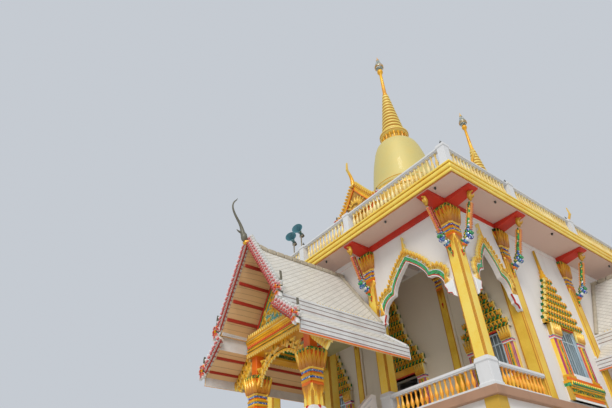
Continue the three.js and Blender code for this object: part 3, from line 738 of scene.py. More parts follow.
def along(points, share):
    # the place and lean of a line of points, a share of the way along it
    lengths = [math.dist(a, b) for a, b in zip(points, points[1:])]
    goal = sum(lengths) * share
    k = 0
    while k < len(lengths) - 1 and goal > lengths[k]:
        goal -= lengths[k]
        k += 1
    part = min(goal / max(lengths[k], 1e-6), 1)
    (x0, z0), (x1, z1) = points[k], points[k + 1]
    return x0 * (1 - part) + x1 * part, z0 * (1 - part) + z1 * part, math.atan2(z1 - z0, x1 - x0)


def strip(points, offsetIn, offsetOut, front, back, finish):
    # a band along a line of points, between two offsets square to it
    def offset(distance):
        line = []
        for i, (x, z) in enumerate(points):
            before, after = points[max(i - 1, 0)], points[min(i + 1, len(points) - 1)]
            run = math.dist(before, after)
            line.append((x - (after[1] - before[1]) / run * distance,
                         z + (after[0] - before[0]) / run * distance))
        return line
    return cutout(offset(offsetIn) + offset(offsetOut)[::-1], front, back, finish)


# Terrace: cornice bands round the roof slab, white balustrade with gold balusters
cornice = {
    "bands": [  # from, to, set back, finish, eased edge
        # the recessed bands carry the dark painted shade
        (0.000, 0.060, 0.060, "corniceDark", 0.012),
        (0.060, 0.185, 0.020, "cornice", 0.036),
        (0.185, 0.228, 0.080, "corniceDark", 0.0),
        (0.228, 0.378, 0.002, "cornice", 0.046),
        (0.378, 0.425, 0.075, "corniceDark", 0.0),
        (0.425, 0.495, 0.005, "cornice", 0.022),
    ],
}


def addFinish(piece, finish, chosen):
    # a second finish on the faces that are chosen
    piece.data.materials.append(finishes[finish])
    for face in piece.data.polygons:
        if chosen(face):
            face.material_index = 1
    return piece


def buildCornice():
    parts = []
    for low, high, inset, finish, edge in cornice["bands"]:
        x, y = corniceX - inset, corniceY - inset
        parts.append(block((-x, -y, soffit + low), (x, y, soffit + high), finish, edge, 3))
    # the cornice's underside takes the soffit colour: painted shade with warm bounce light
    addFinish(parts[0], "soffit", lambda face: face.normal.z < -0.9)
    addFinish(parts[-1], "plaster", lambda face: face.normal.z > 0.9)
    publish(bound(parts), "corniceAndRoof", "gold_paint", "roof_slab")
    print("cornice")


def recoat(node, finish, edge, segments=1):
    # a merged copy of a CAD node with eased edges
    source = frame["nodes"][node]
    piece = source.copy()
    piece.data = source.data.copy()
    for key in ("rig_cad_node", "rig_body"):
        if key in piece:
            del piece[key]
    piece.parent = None
    bpy.context.scene.collection.objects.link(piece)
    pickOnly(piece)
    bpy.ops.object.mode_set(mode="EDIT")
    bpy.ops.mesh.select_all(action="SELECT")
    bpy.ops.mesh.remove_doubles(threshold=0.0002)
    bpy.ops.mesh.dissolve_limited(angle_limit=math.radians(1))
    closeMesh()
    return coat(soften(piece, edge, segments), finish)


def buildBeams():
    # a thin skin of red boards under and beside the beams, with a rounded edge
    def plastered(face):
        # the plates in the walls' own planes, and the beams inside the hall
        x, y = abs(face.center.x), abs(face.center.y)
        onSide = abs(face.normal.x) > 0.9 and abs(x - faceX + wallSetback) < 0.01
        onEnd = abs(face.normal.y) > 0.9 and abs(y - faceY + wallSetback) < 0.01
        return onSide or onEnd or (x < columnX - 0.35 and y < faceY - 0.7)

    skin = addFinish(recoat("ceiling_beams", "red", 0.018), "plaster", plastered)
    publish(skin, "beamBoards", "red_paint", "ceiling_beams")


baluster = {
    "pitch": 0.19,
    "profile": [(0.040, 0.0), (0.040, 0.06), (0.026, 0.09), (0.034, 0.16), (0.060, 0.30), (0.056, 0.42),
                (0.030, 0.62), (0.024, 0.78), (0.036, 0.84), (0.026, 0.89), (0.040, 0.93), (0.040, 1.0)],
}


def balusterShape(height, finish):
    return turned([(r, z * height) for r, z in baluster["profile"]], 8, finish)


def balusterRow(spans, y, low, high, finish):
    places = []
    for start, end in spans:
        count = max(1, round((end - start) / baluster["pitch"]) - 1)
        places += [shift(start + (end - start) * (i + 1) / (count + 1), y, low) for i in range(count)]
    return scattered(balusterShape(high - low, finish), places)


def railBars(start, end, near, far, *rows):
    # rail and curb mouldings: proud of both faces, from, to, then what block takes for looks
    return blocks(*[(start, end, near - out, far + out, low, high, "rail", *looks)
                    for out, low, high, *looks in rows])


terrace = {"railWidth": 0.19, "postHalf": 0.15, "curb": 0.12, "rail": 0.11}


def terracePost(x, y, top):
    half = terrace["postHalf"]
    rings = [(0.02, corniceTop), (0.02, corniceTop + 0.14), (-0.012, corniceTop + 0.17),
             (-0.012, top - 0.16), (0.012, top - 0.13), (0.012, top - 0.04), (-0.03, top),
             (-half * 0.55, top + 0.05)]
    post = turned([(half + out, z) for out, z in rings], 4, "rail", (x, y), False)
    return [post, ballFinial((x, y), top + 0.05, 0.075, "lamp")]


def buildTerraceRails():
    moulding = 0.055  # how far the coping stands proud of the balustrade's own face
    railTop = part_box("terrace_rail_front")[1].z - 0.08
    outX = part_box("terrace_rail_front")[1].x - moulding
    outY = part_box("terrace_rail_rear")[1].y - moulding
    width, half = terrace["railWidth"], terrace["postHalf"]
    curbTop, railLow = corniceTop + terrace["curb"], railTop - terrace["rail"]
    for side in faces:
        long = side in ("left", "right")
        reach = outY - width - moulding if long else outX
        near = faceX - outX if long else faceY - outY
        centres = pilasterYs if long else (-outX + width / 2, -innerX, innerX, outX - width / 2)
        edges = [edge for centre in centres for edge in (centre - half, centre + half)]
        edges = [-reach, *edges, reach] if long else edges[1:-1]
        parts = railBars(-reach, reach, near, near + width,
                         (0.012, corniceTop, curbTop - 0.03, 0.012),
                         (-0.01, curbTop - 0.03, curbTop, 0.01),
                         (-0.02, railLow, railLow + 0.035, 0.01),
                         (0.012, railLow + 0.035, railTop, 0.025, 2))
        middle = near + width / 2
        parts.append(balusterRow(zip(edges[::2], edges[1::2]), middle, curbTop, railLow, "balusterGold"))
        for centre in centres:
            parts += terracePost(centre, middle, railTop + 0.05)
        publish(bound(parts), f"terraceRail{side.title()}", "white_plaster", f"terrace_rail_{side}",
                side=side)
    print("terrace rails")


# Columns: white pedestal, gilded shaft with stepped corners, ring bands, lotus capital
capital = {"petals": 3, "flare": 0.10, "collar": 0.72}


def lotusCapital(half, rings, lotus, top):
    # a tapering leaf collar, two ring bands, then close petals flaring up to a dark cap at the beam
    height = top - lotus
    wide = half + capital["flare"]
    collar = capital["collar"] * half / columnHalf
    middle = (rings + lotus) / 2
    bands = [
        ("orange", (0.015, rings - 0.06), (0.035, rings), (0.015, rings + 0.06)),
        ("gold", (0.02, rings + 0.06), (0.045, rings + 0.09), (0.02, middle - 0.05)),
        ("blue", (0.03, middle - 0.06), (0.03, middle - 0.005)),
        ("gold", (0.02, middle), (0.05, middle + 0.04), (0.02, middle + 0.09)),
        ("orange", (0.01, middle + 0.08), (0.01, lotus - 0.06)),
        ("blue", (0.03, lotus - 0.07), (0.03, lotus - 0.015)),
        ("gold", (0.02, lotus - 0.02), (0.04, lotus + 0.02), (0, lotus + 0.05)),
    ]
    parts = [steppedPrism([(half + out, z) for out, z in points], finish) for finish, *points in bands]
    core = [(half - 0.01, lotus), (half + 0.01, lotus + height * 0.3), (wide - 0.02, top - 0.10)]
    cap = [(wide - 0.03, top - 0.10), (wide + 0.01, top - 0.07), (wide + 0.01, top - 0.004)]
    parts += [steppedPrism(core, "orange", 0.16), steppedPrism(cap, "darkGreen", 0.16)]
    petals, strips, collars, tips = [], [], [], []
    tilt = math.atan(capital["flare"] * 1.1 / height)
    for quarter in range(4):
        turn = spin(quarter * quarterTurn)
        for i in range(capital["petals"]):
            x = (i - 1) * half * 0.70
            petals.append(turn @ shift(x, -half + 0.01, lotus + 0.02) @ spin(tilt, "X")
                          @ scale(half * 0.72, 0.26, height * 0.96))
            long = collar if i == 1 else collar * 0.5
            collars.append(turn @ shift(x * 0.8, -half + 0.02, rings) @ scale(half * 0.72, 0.18, -long))
        strips.append(turn @ shift(0, -half - 0.045, lotus + height * 0.34) @ spin(tilt * 1.2, "X")
                      @ scale(half * 0.26, 0.16, height * 0.46))
        tips.append(turn @ shift(0, -half, rings - collar * 0.80) @ scale(half * 0.34, 0.18, -0.22))
        petals.append(turn @ spin(math.pi / 4) @ shift(0, -half * 1.26, lotus + 0.02)
                      @ spin(tilt * 1.4, "X") @ scale(half * 0.62, 0.30, height * 0.98))
    rows = (("capitalLeaf", petals), ("blue", strips), ("capitalLeaf", collars), ("red", tips))
    for finish, places in rows:
        parts.append(scattered(flameLeaf(finish), places))
    return bound(parts)


def columnShape(half, foot, shoulder, pedestalHalf, rings, lotus, top):
    wide, slim = pedestalHalf + 0.012, pedestalHalf - 0.012
    pedestal = [(wide, foot), (wide, foot + 0.10), (slim, foot + 0.13), (slim, shoulder - 0.16),
                (wide, shoulder - 0.12), (half + 0.012, shoulder)]
    parts = [steppedPrism(pedestal, "rail", 0.14),
             steppedPrism([(half, shoulder), (half, rings)], "columnGold")]
    line = turned([(0.010, 0), (0.010, rings - shoulder)], 6, "columnLine")
    places = [shift(sx * half * a, sy * half * b, shoulder) for sx in (-1, 1) for sy in (-1, 1)
              for a, b in ((0.97, 0.76), (0.87, 0.87), (0.76, 0.97))]
    return bound([*parts, scattered(line, places), lotusCapital(half, rings, lotus, top)])


verandaColumn = {"pedestal": 0.817, "pedestalHalf": 0.245, "rings": 10.34, "lotus": 10.74}


def buildVerandaColumns():
    pedestal, pedestalHalf, rings, lotus = verandaColumn.values()
    shoulder = floorTop + pedestal
    shape = columnShape(columnHalf, floorTop, shoulder, pedestalHalf, rings, lotus, beamUnderside)
    nodes = ("corner_column_left", "veranda_column_left", "veranda_column_right", "corner_column_right")
    for node, x in zip(nodes, columnXs):
        publish(twin(shape, shift(x, -cornerY)), node.title().replace("_", ""), "gold_paint", node)
    discard(shape)
    print("veranda columns")


def pilasterShape(half):
    # the outer part of a column against a wall: stepped face strip, painted lines, capital
    low, high = floorTop, verandaColumn["rings"]
    parts = bars((half * 0.78, -0.022, 0.02, low, high, "pilasterGold", 0.006),
                 (half + 0.005, -0.004, 0.17, low, high, "pilasterGold", 0.006))
    line = turned([(0.013, low), (0.013, high)], 6, "columnLine")
    parts.append(scattered(line, [shift(x, -0.012) for x in (-half * 0.86, half * 0.86)]))
    crown = lotusCapital(half, verandaColumn["rings"], verandaColumn["lotus"], beamUnderside)
    pickOnly(moved(crown, shift(0, half)))
    bpy.ops.object.mode_set(mode="EDIT")
    bpy.ops.mesh.select_all(action="SELECT")
    bpy.ops.mesh.bisect(plane_co=(0, 0.2, 0), plane_no=(0, 1, 0), clear_outer=True, use_fill=True)
    bpy.ops.object.mode_set(mode="OBJECT")
    return bound([*parts, crown])


hall = {"doorPilasterX": 2.442, "doorPilasterWidth": 0.76, "frontWindowX": 3.9, "rearWindowX": 3.128}


def buildPilasters():
    shape = pilasterShape(columnHalf)
    narrow = scale(hall["doorPilasterWidth"], 1, 1)
    rows = [
        ("Left", "left", [shift(-y) for y in (*pilasterYs, cornerY)]),
        ("Right", "right", [shift(y) for y in (*pilasterYs, cornerY)]),
        ("Rear", "rear", [shift(x) for x in columnXs]),
        ("HallFront", "front", [shift(x * hall["doorPilasterX"], hallShift) @ narrow for x in (-1, 1)]),
        ("HallCorner", "front", [shift(x, hallShift) for x in (-columnX, columnX)]),
    ]
    for name, side, places in rows:
        row = bound([twin(shape, place) for place in places])
        publish(row, f"pilasters{name}", "gold_paint", side=side)
    discard(shape)
    print("pilasters")


# Eave brackets: a naga that rises from a scroll on the column to the beam's underside
bracket = {
    "path": [(0.02, 9.60), (0.08, 9.78), (0.20, 9.98), (0.36, 10.18), (0.47, 10.42), (0.53, 10.64),
             (0.62, 10.84), (0.68, 11.04), (0.74, 11.20)],
    "radii": [0.015, 0.05, 0.085, 0.085, 0.07, 0.062, 0.06, 0.06, 0.05],
    "fins": 14,
    "lumps": [(0.15, 9.88, 0.06, "orange"), (0.22, 9.95, 0.08, "blue"), (0.32, 9.97, 0.06, "white"),
              (0.42, 10.03, 0.08, "blue"), (0.27, 10.07, 0.08, "darkGreen"), (0.37, 10.13, 0.08, "blue"),
              (0.48, 10.15, 0.06, "green"), (0.19, 10.05, 0.05, "white"), (0.30, 10.19, 0.06, "darkGreen"),
              (0.44, 10.26, 0.06, "blue"), (0.13, 10.04, 0.05, "green"), (0.36, 10.27, 0.05, "darkGreen"),
              (0.47, 10.36, 0.045, "blue")],
    "neck": [(0.03, -0.26), (0.065, -0.20), (0.09, -0.10), (0.08, -0.02), (0.06, 0.06), (0.04, 0.12)],
    "jaws": [([(0.84, -0.14), (0.93, -0.18), (0.965, -0.08)], [0.06, 0.045, 0.012]),
             ([(0.80, 0.02), (0.90, 0.08), (0.965, 0.03)], [0.055, 0.04, 0.012])],
}


def bracketShape():
    # in the plane x = 0, with d along -Y
    path, top = bracket["path"], beamUnderside
    body = drawn([(0, -d, z) for d, z in path], bracket["radii"], "naga")
    lumps, places = [], []
    for d, z, size, finish in bracket["lumps"]:
        rings = [(size * 0.45, -0.10), (size * 0.9, -0.075), (size, 0), (size * 0.9, 0.075),
                 (size * 0.45, 0.10)]
        lumps.append(moved(turned(rings, 9, finish), shift(0, -d, z) @ spin(quarterTurn, "Y")))
    for i in range(bracket["fins"]):
        t = 3.2 + i / (bracket["fins"] - 1) * (len(path) - 4.6)
        k = int(t)
        (d0, z0), (d1, z1), share = path[k], path[k + 1], t - k
        lean = math.atan2(z1 - z0, d1 - d0)
        for turn in (-lean, math.pi - lean):
            places.append(
                shift(0, -d0 * (1 - share) - d1 * share, z0 * (1 - share) + z1 * share) @ spin(turn, "X")
                @ shift(0, 0, 0.045) @ spin(quarterTurn) @ shift(0, 0.03, 0) @ scale(0.085, 0.36, 0.075))
    fins = scattered(flameLeaf("finLeaf"), places)
    head = [turned([(r, top + z) for r, z in bracket["neck"]], 10, "goldBrown", (0, -0.80))]
    head += [drawn([(0, -d, top + z) for d, z in jaw], radii, "goldBrown")
             for jaw, radii in bracket["jaws"]]
    return bound([body, fins, *lumps, *head])


def buildBrackets():
    shape = bracketShape()
    spots = (-cornerY, *pilasterYs, cornerY)
    rows = {"front": columnXs, "rear": columnXs, "left": [-y for y in spots], "right": spots}
    for side, xs in rows.items():
        row = bound([twin(shape, shift(x)) for x in xs])
        publish(row, f"eaveBrackets{side.title()}", "gold_paint", side=side)
    discard(shape)
    print("eave brackets")


# Lobed arches: painted edges, gold leaf crockets and a tall flame over each
arch = {
    "corbel": 8.285,
    "spring": 8.78,
    "cusp": 9.308,
    "peak": 10.265,
    "flame": 11.288,
    "steps": 6,
    "strips": [(-0.004, 0.018, "white"), (0.018, 0.052, "red"), (0.052, 0.165, "green"),
               (0.165, 0.19, "white"), (0.195, 0.36, "scroll")],
    "crocketPitch": 0.15,
    "crocketHeight": 0.17,
    "flameHalf": [(0.16, -0.14), (0.17, 0.02), (0.09, 0.16), (0.10, 0.26), (0.05, 0.40), (0.05, 0.50),
                  (0.024, 0.74), (0.006, 1.06)],
}


def archLine(springHalf, cuspHalf, grow):
    # half of the arch, from the column face up to the peak
    spring, cusp, peak, steps = (arch[key] for key in ("spring", "cusp", "peak", "steps"))
    points = []
    for i in range(steps + 1):
        angle = quarterTurn * i / steps
        x = cuspHalf + (springHalf - cuspHalf) * math.cos(angle) + grow * 0.6
        points.append((x, spring + (cusp - spring) * math.sin(angle) + grow))
    low = (cuspHalf - 0.025 + grow * 0.45, cusp + 0.03 + grow)
    bend = (cuspHalf - 0.06 + grow * 0.4, cusp + (peak - cusp) * 0.4 + grow)
    high = (0, peak + grow * 1.3)
    for i in range(steps + 1):
        t = i / steps
        points.append(tuple((1 - t) ** 2 * a + 2 * t * (1 - t) * b + t * t * c
                            for a, b, c in zip(low, bend, high)))
    return points


def archDress(bayHalf, springHalf, cuspHalf):
    outerHalf = min(springHalf, bayHalf - 0.15)
    parts = []
    for inner, outer, finish in arch["strips"]:
        outline = archLine(springHalf, cuspHalf, inner) + archLine(outerHalf, cuspHalf, outer)[::-1]
        parts += mirrored([cutout(outline, -0.028 - outer * 0.05, 0.004, finish)])
    line = archLine(outerHalf, cuspHalf, 0.27)
    count = int(sum(math.dist(a, b) for a, b in zip(line, line[1:])) / arch["crocketPitch"])
    size = scale(-arch["crocketPitch"] * 0.92, 0.45, arch["crocketHeight"])
    places = []
    for i in range(count):
        x, z, angle = along(line, (i + 0.5) / count)
        lean = angle - math.pi if angle > 0 else angle + math.pi
        places.append(shift(x, 0.0, z - 0.02) @ spin(-max(-1.25, min(0.2, lean)) * 0.9, "Y") @ size)
    parts += mirrored([scattered(curlLeaf("leaf"), places)])
    outline = closedOutline(arch["flameHalf"])
    peak = [(x, arch["peak"] + 0.30 + z * 0.68) for x, z in outline]
    peak = cutout(peak, -0.05, 0.068, "leaf", 0.02, 0.015)
    parts.append(mark(peak, arch["peak"], arch["flame"]))
    foot = [(x * 0.55, arch["spring"] + 0.12 + z * 0.55) for x, z in outline]
    foot = mark(cutout(foot, -0.04, 0.066, "leaf", 0.02, 0.02), arch["spring"], arch["spring"] + 0.6)
    parts += [twin(foot, shift(x)) for x in (outerHalf + 0.1, -outerHalf - 0.1)]
    discard(foot)
    low, ledge = arch["corbel"], bayHalf - springHalf
    corbel = [(bayHalf, low - 0.02), (bayHalf, arch["spring"] + 0.06),
              (springHalf - 0.03, arch["spring"] + 0.02), (springHalf + 0.06, low + 0.30),
              (springHalf + 0.04, low + 0.22), (springHalf + ledge * 0.6, low + 0.16),
              (springHalf + ledge * 0.7, low + 0.05)]
    parts += mirrored([cutout(corbel, -0.03, 0.135, "white", 0.012, 0.015)])
    parts += mirrored([strip(corbel[2:], -0.010, 0.014, -0.036, 0.02, "red")])
    return bound(parts)


def buildArches():
    wide = archDress((columnX - innerX) / 2 - columnHalf, 1.32, 0.784)
    for name, way in (("Left", -1), ("Right", 1)):
        piece = twin(wide, shift(way * (columnX + innerX) / 2))
        publish(piece, f"archTrimFront{name}", "gold_paint", side="front")
    narrow = archDress((hallFront + cornerY) / 2 - columnHalf, 0.84, 0.5)
    for side, way in (("left", 1), ("right", -1)):
        piece = twin(narrow, shift(way * (cornerY - hallFront) / 2))
        publish(piece, f"archTrimSide{side.title()}", "gold_paint", side=side)
    discard(wide, narrow)
    for name in ("arch_screen_front_left", "arch_screen_front_right", "arch_screen_side_left",
                 "arch_screen_side_right", "centre_screen"):
        coat(frame["nodes"][name], "plaster")
    print("arches")


# Veranda rails with orange-gold balusters
def buildVerandaRails():
    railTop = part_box("veranda_rail_front_left")[1].z
    pedestal = verandaColumn["pedestalHalf"]
    far, near = cornerY - pedestal, -hallFront + columnHalf
    spans = {
        "front_left": (pedestal - columnX, -innerX - pedestal),
        "front_right": (innerX + pedestal, columnX - pedestal),
        "side_left": (near, far),
        "side_right": (-far, -near),
    }
    curbTop, railLow = floorTop + 0.07, railTop - 0.12
    for name, (start, end) in spans.items():
        parts = railBars(start, end, 0, 0.12, (0.035, floorTop, curbTop, 0.01),
                         (0.02, railLow, railTop - 0.09, 0.008), (0.042, railTop - 0.09, railTop, 0.02, 2))
        parts.append(balusterRow([(start, end)], 0.06, curbTop, railLow, "balusterOrange"))
        where, hand = name.split("_")
        publish(bound(parts), f"verandaRail{where.title()}{hand.title()}", "white_plaster",
                f"veranda_rail_{name}",
                side="front" if where == "front" else hand)
    print("veranda rails")


# Spired frames of leaf tiers round the windows and doors
frames = {
    "window": {
        "half": 0.495, "low": 6.519, "high": 8.103, "jamb": 0.99,
        "foot": 5.645, "footTop": 6.338, "footHalf": 1.122,
        "tiers": [(1.155, 8.15), (0.995, 8.425), (0.835, 8.70), (0.675, 8.975), (0.515, 9.25),
                  (0.36, 9.525), (0.215, 9.80)],
        "tierTop": 10.08, "tip": 11.34,
    },
    "frontWindow": {
        "half": 0.48, "low": 6.519, "high": 7.93, "jamb": 0.87,
        "foot": 5.645, "footTop": 6.338, "footHalf": 0.93,
        "tiers": [(0.93, 7.98), (0.79, 8.27), (0.63, 8.62), (0.47, 8.97), (0.34, 9.33), (0.215, 9.68)],
        "tierTop": 10.0, "tip": 11.25,
    },
    "door": {
        "half": 0.65, "high": 7.64, "jamb": 1.05,
        "foot": 5.514, "footTop": 5.9, "footHalf": 1.13,
        "tiers": [(1.15, 7.90), (0.90, 8.26), (0.68, 8.64), (0.53, 8.93), (0.42, 9.22), (0.33, 9.70),
                  (0.24, 10.15)],
        "tierTop": 10.6, "tip": 11.34,
    },
}
sideDoor = {"half": 0.65, "footTop": 5.8, "high": 7.64}
plateFront = wallSetback - frameProud - 0.006  # just outside the CAD plate round a door or window
plateBack = 0.14


def tierRow(half, low, high):
    # one tier: a green band between gold fillets, upright leaves, and a curled roof corner at each end
    front, rise = plateFront, high - low
    parts = bars(
        (half - 0.02, front - 0.03, plateBack, low, low + rise * 0.10, "gold", 0.008),
        (half - 0.05, front - 0.02, plateBack, low + rise * 0.12, low + rise * 0.42, "windowGreen", 0.004),
        (half - 0.03, front - 0.04, plateBack, low + rise * 0.42, low + rise * 0.47, "gold", 0.006),
        (half - 0.06, front - 0.01, plateBack, low + rise * 0.46, high + 0.01, "windowGreen"))
    rows = ((0.60, 0.10, "tierLeaf", False, 0.62, 0.02, 0.40),
            (0.34, 0.07, "greenLeaf", True, 0.7, 0.035, 0.44))
    for height, depth, finish, down, fill, proud, foot in rows:
        row = leafRow(2 * half - 0.06, 0.17, rise * height, depth, finish, down, fill)
        parts.append(moved(row, shift(0, front - proud, low + rise * foot)))
    corner = shift(half - 0.05, front, low + rise * 0.36) @ scale(0.09, 0.4, rise * 0.62)
    return bound([*parts, scattered(curlLeaf("leaf"), [corner, mirrorX @ corner])])


def jambPilaster(inner, outer, low, high):
    # fluted shaft with a green strip, painted rings and a flaring capital
    front, middle, half, neck = plateFront, (inner + outer) / 2, (outer - inner) / 2, high - 0.52
    petalCount = 5
    parts = blocks(
        (inner, outer, front + 0.01, plateBack, low, neck, "columnGold", 0.008),
        (outer - 0.04, outer - 0.006, front - 0.02, front + 0.03, low, neck, "purple", 0.006),
        (inner, inner + 0.045, front - 0.015, 0.1, low, neck, "orange", 0.006),
        (inner - 0.02, outer + 0.02, front - 0.05, plateBack, low, low + 0.09, "gold", 0.012),
        (inner + 0.01, outer - 0.01, front - 0.01, plateBack, neck + 0.12, high, "goldBrown", 0.004))
    for start, end, proud, bottom, top, *looks in (  # upright strips, across in shares of the half width
            (-0.40, 0.40, 0.035, low + 0.1, neck, "gold", 0.02, 2),
            (-0.16, 0.16, 0.042, low + 0.12, neck - 0.04, "darkGreen", 0.006),
            (-0.62, -0.50, 0.012, low, neck, "purple", 0.006),
            (0.50, 0.62, 0.012, low, neck, "purple", 0.006)):
        start, end = middle + half * start, middle + half * end
        parts += blocks((start, end, front - proud, 0.1, bottom, top, *looks))
    for i, (finish, proud) in enumerate((("white", 0.045), ("pink", 0.05), ("blue", 0.045))):
        low, out = neck + 0.04 * i, front - proud
        parts += blocks((inner - 0.015, outer + 0.015, out, plateBack, low, low + 0.04, finish, 0.008))
    size = scale(2 * half / (petalCount - 0.6), 0.3, high - neck - 0.10)
    petals = []
    for i in range(petalCount):
        x = inner + 2 * half * (i + 0.5) / petalCount
        lean = (i - (petalCount - 1) / 2) * 0.09
        petals.append(shift(x, front - 0.01, neck + 0.11) @ spin(lean, "Y") @ spin(0.12, "X") @ size)
    return bound([*parts, scattered(flameLeaf("leaf"), petals)])


def spiredFrame(kind):
    # in a face's own frame: X across, and plateFront the face of the CAD plate
    spec, front = frames[kind], plateFront
    tiers, top, inner, high, foot = (spec[key] for key in ("tiers", "tierTop", "half", "high", "foot"))
    footTop = spec["footTop"]
    tops = [*(low for _, low in tiers[1:]), top]
    parts = [tierRow(half, low, tierHigh) for (half, low), tierHigh in zip(tiers, tops)]
    rings = [(0.13, 0), (0.15, 0.05), (0.09, 0.12), (0.11, 0.18), (0.07, 0.26), (0.085, 0.32),
             (0.045, 0.45), (0.055, 0.52), (0.028, (spec["tip"] - top) * 0.6), (0.006, spec["tip"] - top)]
    parts.append(turned([(r, top + z) for r, z in rings], 8, "gold", (0, front + 0.06)))
    parts += mirrored([jambPilaster(inner + 0.04, spec["jamb"] + 0.005, footTop, tiers[0][1])])
    parts += bars((inner + 0.05, front - 0.02, plateBack, high, high + 0.05, "red", 0.006),
                  (inner + 0.05, front - 0.035, plateBack, high + 0.05, tiers[0][1] + 0.01, "gold", 0.006))
    for side in (-1, 1):
        parts += blocks((side * (inner - 0.012), side * (inner + 0.05), front - 0.004, 0.3, footTop, high,
                         "aluminium", 0.004))
    if kind != "door":
        return bound([*parts, *windowFoot(spec), *windowBars(spec)])
    for side in (-1, 1):
        wide = spec["footHalf"] * side
        parts += blocks(
            (inner * side, wide, front - 0.03, plateBack, foot, footTop, "gold", 0.015),
            (inner * side, wide + 0.012 * side, front - 0.045, 0.13, foot + 0.12, foot + 0.22, "green",
             0.01))
    return bound(parts)


def windowFoot(spec):
    # stepped base under the sill
    foot, top, half, front = spec["foot"], spec["footTop"], spec["footHalf"], plateFront
    rise = top - foot
    bands = [  # from, to, share of the width, proud, finish
        (0.00, 0.12, 0.86, 0.00, "white"), (0.12, 0.26, 0.80, 0.01, "orange"),
        (0.26, 0.34, 0.90, 0.03, "gold"), (0.34, 0.50, 0.84, 0.02, "darkGreen"),
        (0.50, 0.58, 0.95, 0.05, "gold"), (0.58, 0.72, 1.004, 0.06, "green"),
        (0.72, 0.84, 1.008, 0.075, "gold"), (0.84, 1.00, 0.96, 0.055, "orange"),
    ]
    parts = []
    for low, high, wide, out, finish in bands:
        low, high = foot + rise * low, foot + rise * high
        parts += bars((half * wide, front - out, plateBack, low, high, finish, 0.008))
    row = leafRow(half * 1.86, 0.13, rise * 0.24, 0.05, "greenLeaf")
    parts.append(moved(row, shift(0, front - 0.06, foot + rise * 0.60)))
    return parts + bars((spec["half"] + 0.05, front - 0.03, 0.3, top, spec["low"], "white", 0.012))


def windowBars(spec):
    # aluminium frame and mullions outside the glass
    half, low, high = spec["half"] - 0.014, spec["low"] + 0.004, spec["high"] - 0.004
    front = wallSetback - frameProud + 0.05
    back, rail = front + 0.03, low + (high - low) * 0.72
    parts = bars((half, front, back, low, low + 0.05, "aluminium", 0.004),
                 (half, front, back, high - 0.05, high, "aluminium", 0.004),
                 (half, front + 0.005, back, rail, rail + 0.04, "aluminium", 0.004))
    for x in (-half, -0.02, half - 0.045):
        parts += blocks((x, x + 0.045, front, back, low, high, "aluminium", 0.004))
    for x in (-0.68 * half, -0.36 * half, 0.34 * half, 0.66 * half):
        parts += blocks((x, x + 0.022, front + 0.008, back, low, high, "aluminium", 0.003))
    return parts


def buildFrames():
    windowY = (pilasterYs[2] + pilasterYs[3]) / 2 + 0.025
    rows = [
        ("windowFramesLeft", "window", "left", windowY, 0),
        ("windowFramesRight", "window", "right", windowY, 0),
        ("windowFramesRear", "window", "rear", hall["rearWindowX"], 0),
        ("windowFramesFront", "frontWindow", "front", hall["frontWindowX"], hallShift),
    ]
    shapes = {kind: spiredFrame(kind) for kind in frames}
    for name, kind, side, x, y in rows:
        pair = [twin(shapes[kind], shift(way * x, y)) for way in (-1, 1)]
        publish(bound(pair), name, "gold_paint", side=side)
    publish(twin(shapes["door"], shift(0, hallShift)), "doorFrameFront", "gold_paint", side="front")
    discard(*shapes.values())
    front, (half, low, high) = plateFront, (sideDoor[key] for key in ("half", "footTop", "high"))
    for side in ("left", "right"):
        parts = []
        for way in (-1, 1):
            inner = half * way
            parts += blocks(
                (inner, inner + 0.21 * way, front - 0.02, plateBack, low, high, "columnGold", 0.012),
                (inner + 0.05 * way, inner + 0.15 * way, front - 0.035, 0.1, low + 0.05, high - 0.04,
                 "naga", 0.008),
                (inner, inner + 0.26 * way, front - 0.03, plateBack, floorTop, low, "gold", 0.012))
        parts += bars((half + 0.23, front - 0.04, plateBack, high, high + 0.145, "orange", 0.012))
        publish(bound(parts), f"sideDoorSurround{side.title()}", "gold_paint", side=side)
    for name, node in frame["nodes"].items():
        if name.startswith("glass_"):
            coat(node, "glass")
        # the front hall wall takes the darker warm plaster, painted shade under the veranda roof
        if name.startswith("hall_wall"):
            coat(node, "verandaWall" if name == "hall_wall_front" else "wall")
    print("window and door frames")


# Porches, modelled once in a face's own frame and set on three faces
porch = {
    "out": 4.33,
    "boards": 0.11,
    "ridge": 11.205,
    "pitch": 1.482,
    "upperEave": 1.815,
    "lowerPitch": 0.78,
    "lowerEave": 2.68,
    "lowerStart": 8.091,
    "lowerFoot": 7.03,
    "skin": 0.215,
    "lowerSkin": 0.156,
    "plateInner": 1.64,
    "plateOuter": 1.75,
    "sweep": 0.22,
    "sweepFrom": 3.5,
    "beamLow": 7.85,
    "beamTop": 8.45,
    "capitalTop": 7.15,
    "columnOut": 3.005,
    "columnX": 1.45,
    "columnHalf": 0.22,
    "pedestalHalf": 0.285,
    "rings": 6.12,
    "lotus": 6.52,
}


def upperRoof(x, below=0.0):
    return porch["ridge"] - porch["pitch"] * x - below


def lowerRoof(x, below=0.0):
    return porch["lowerStart"] - porch["lowerPitch"] * (x - porch["upperEave"]) - below


def sweepUp(piece, slopes=False):
    # the ridge rises gently towards the gable, and the upper slopes less and less towards their eaves
    for vertex in piece.data.vertices:
        x, y, z = vertex.co
        ahead = max(0.0, -y - porch["sweepFrom"]) / (porch["out"] - porch["sweepFrom"])
        share = max(0.0, 1 - abs(x) / porch["upperEave"]) if slopes else 1.0
        if z > 8.5:  # between the two tiers
            vertex.co.z += porch["sweep"] * ahead ** 2 * share
    return piece


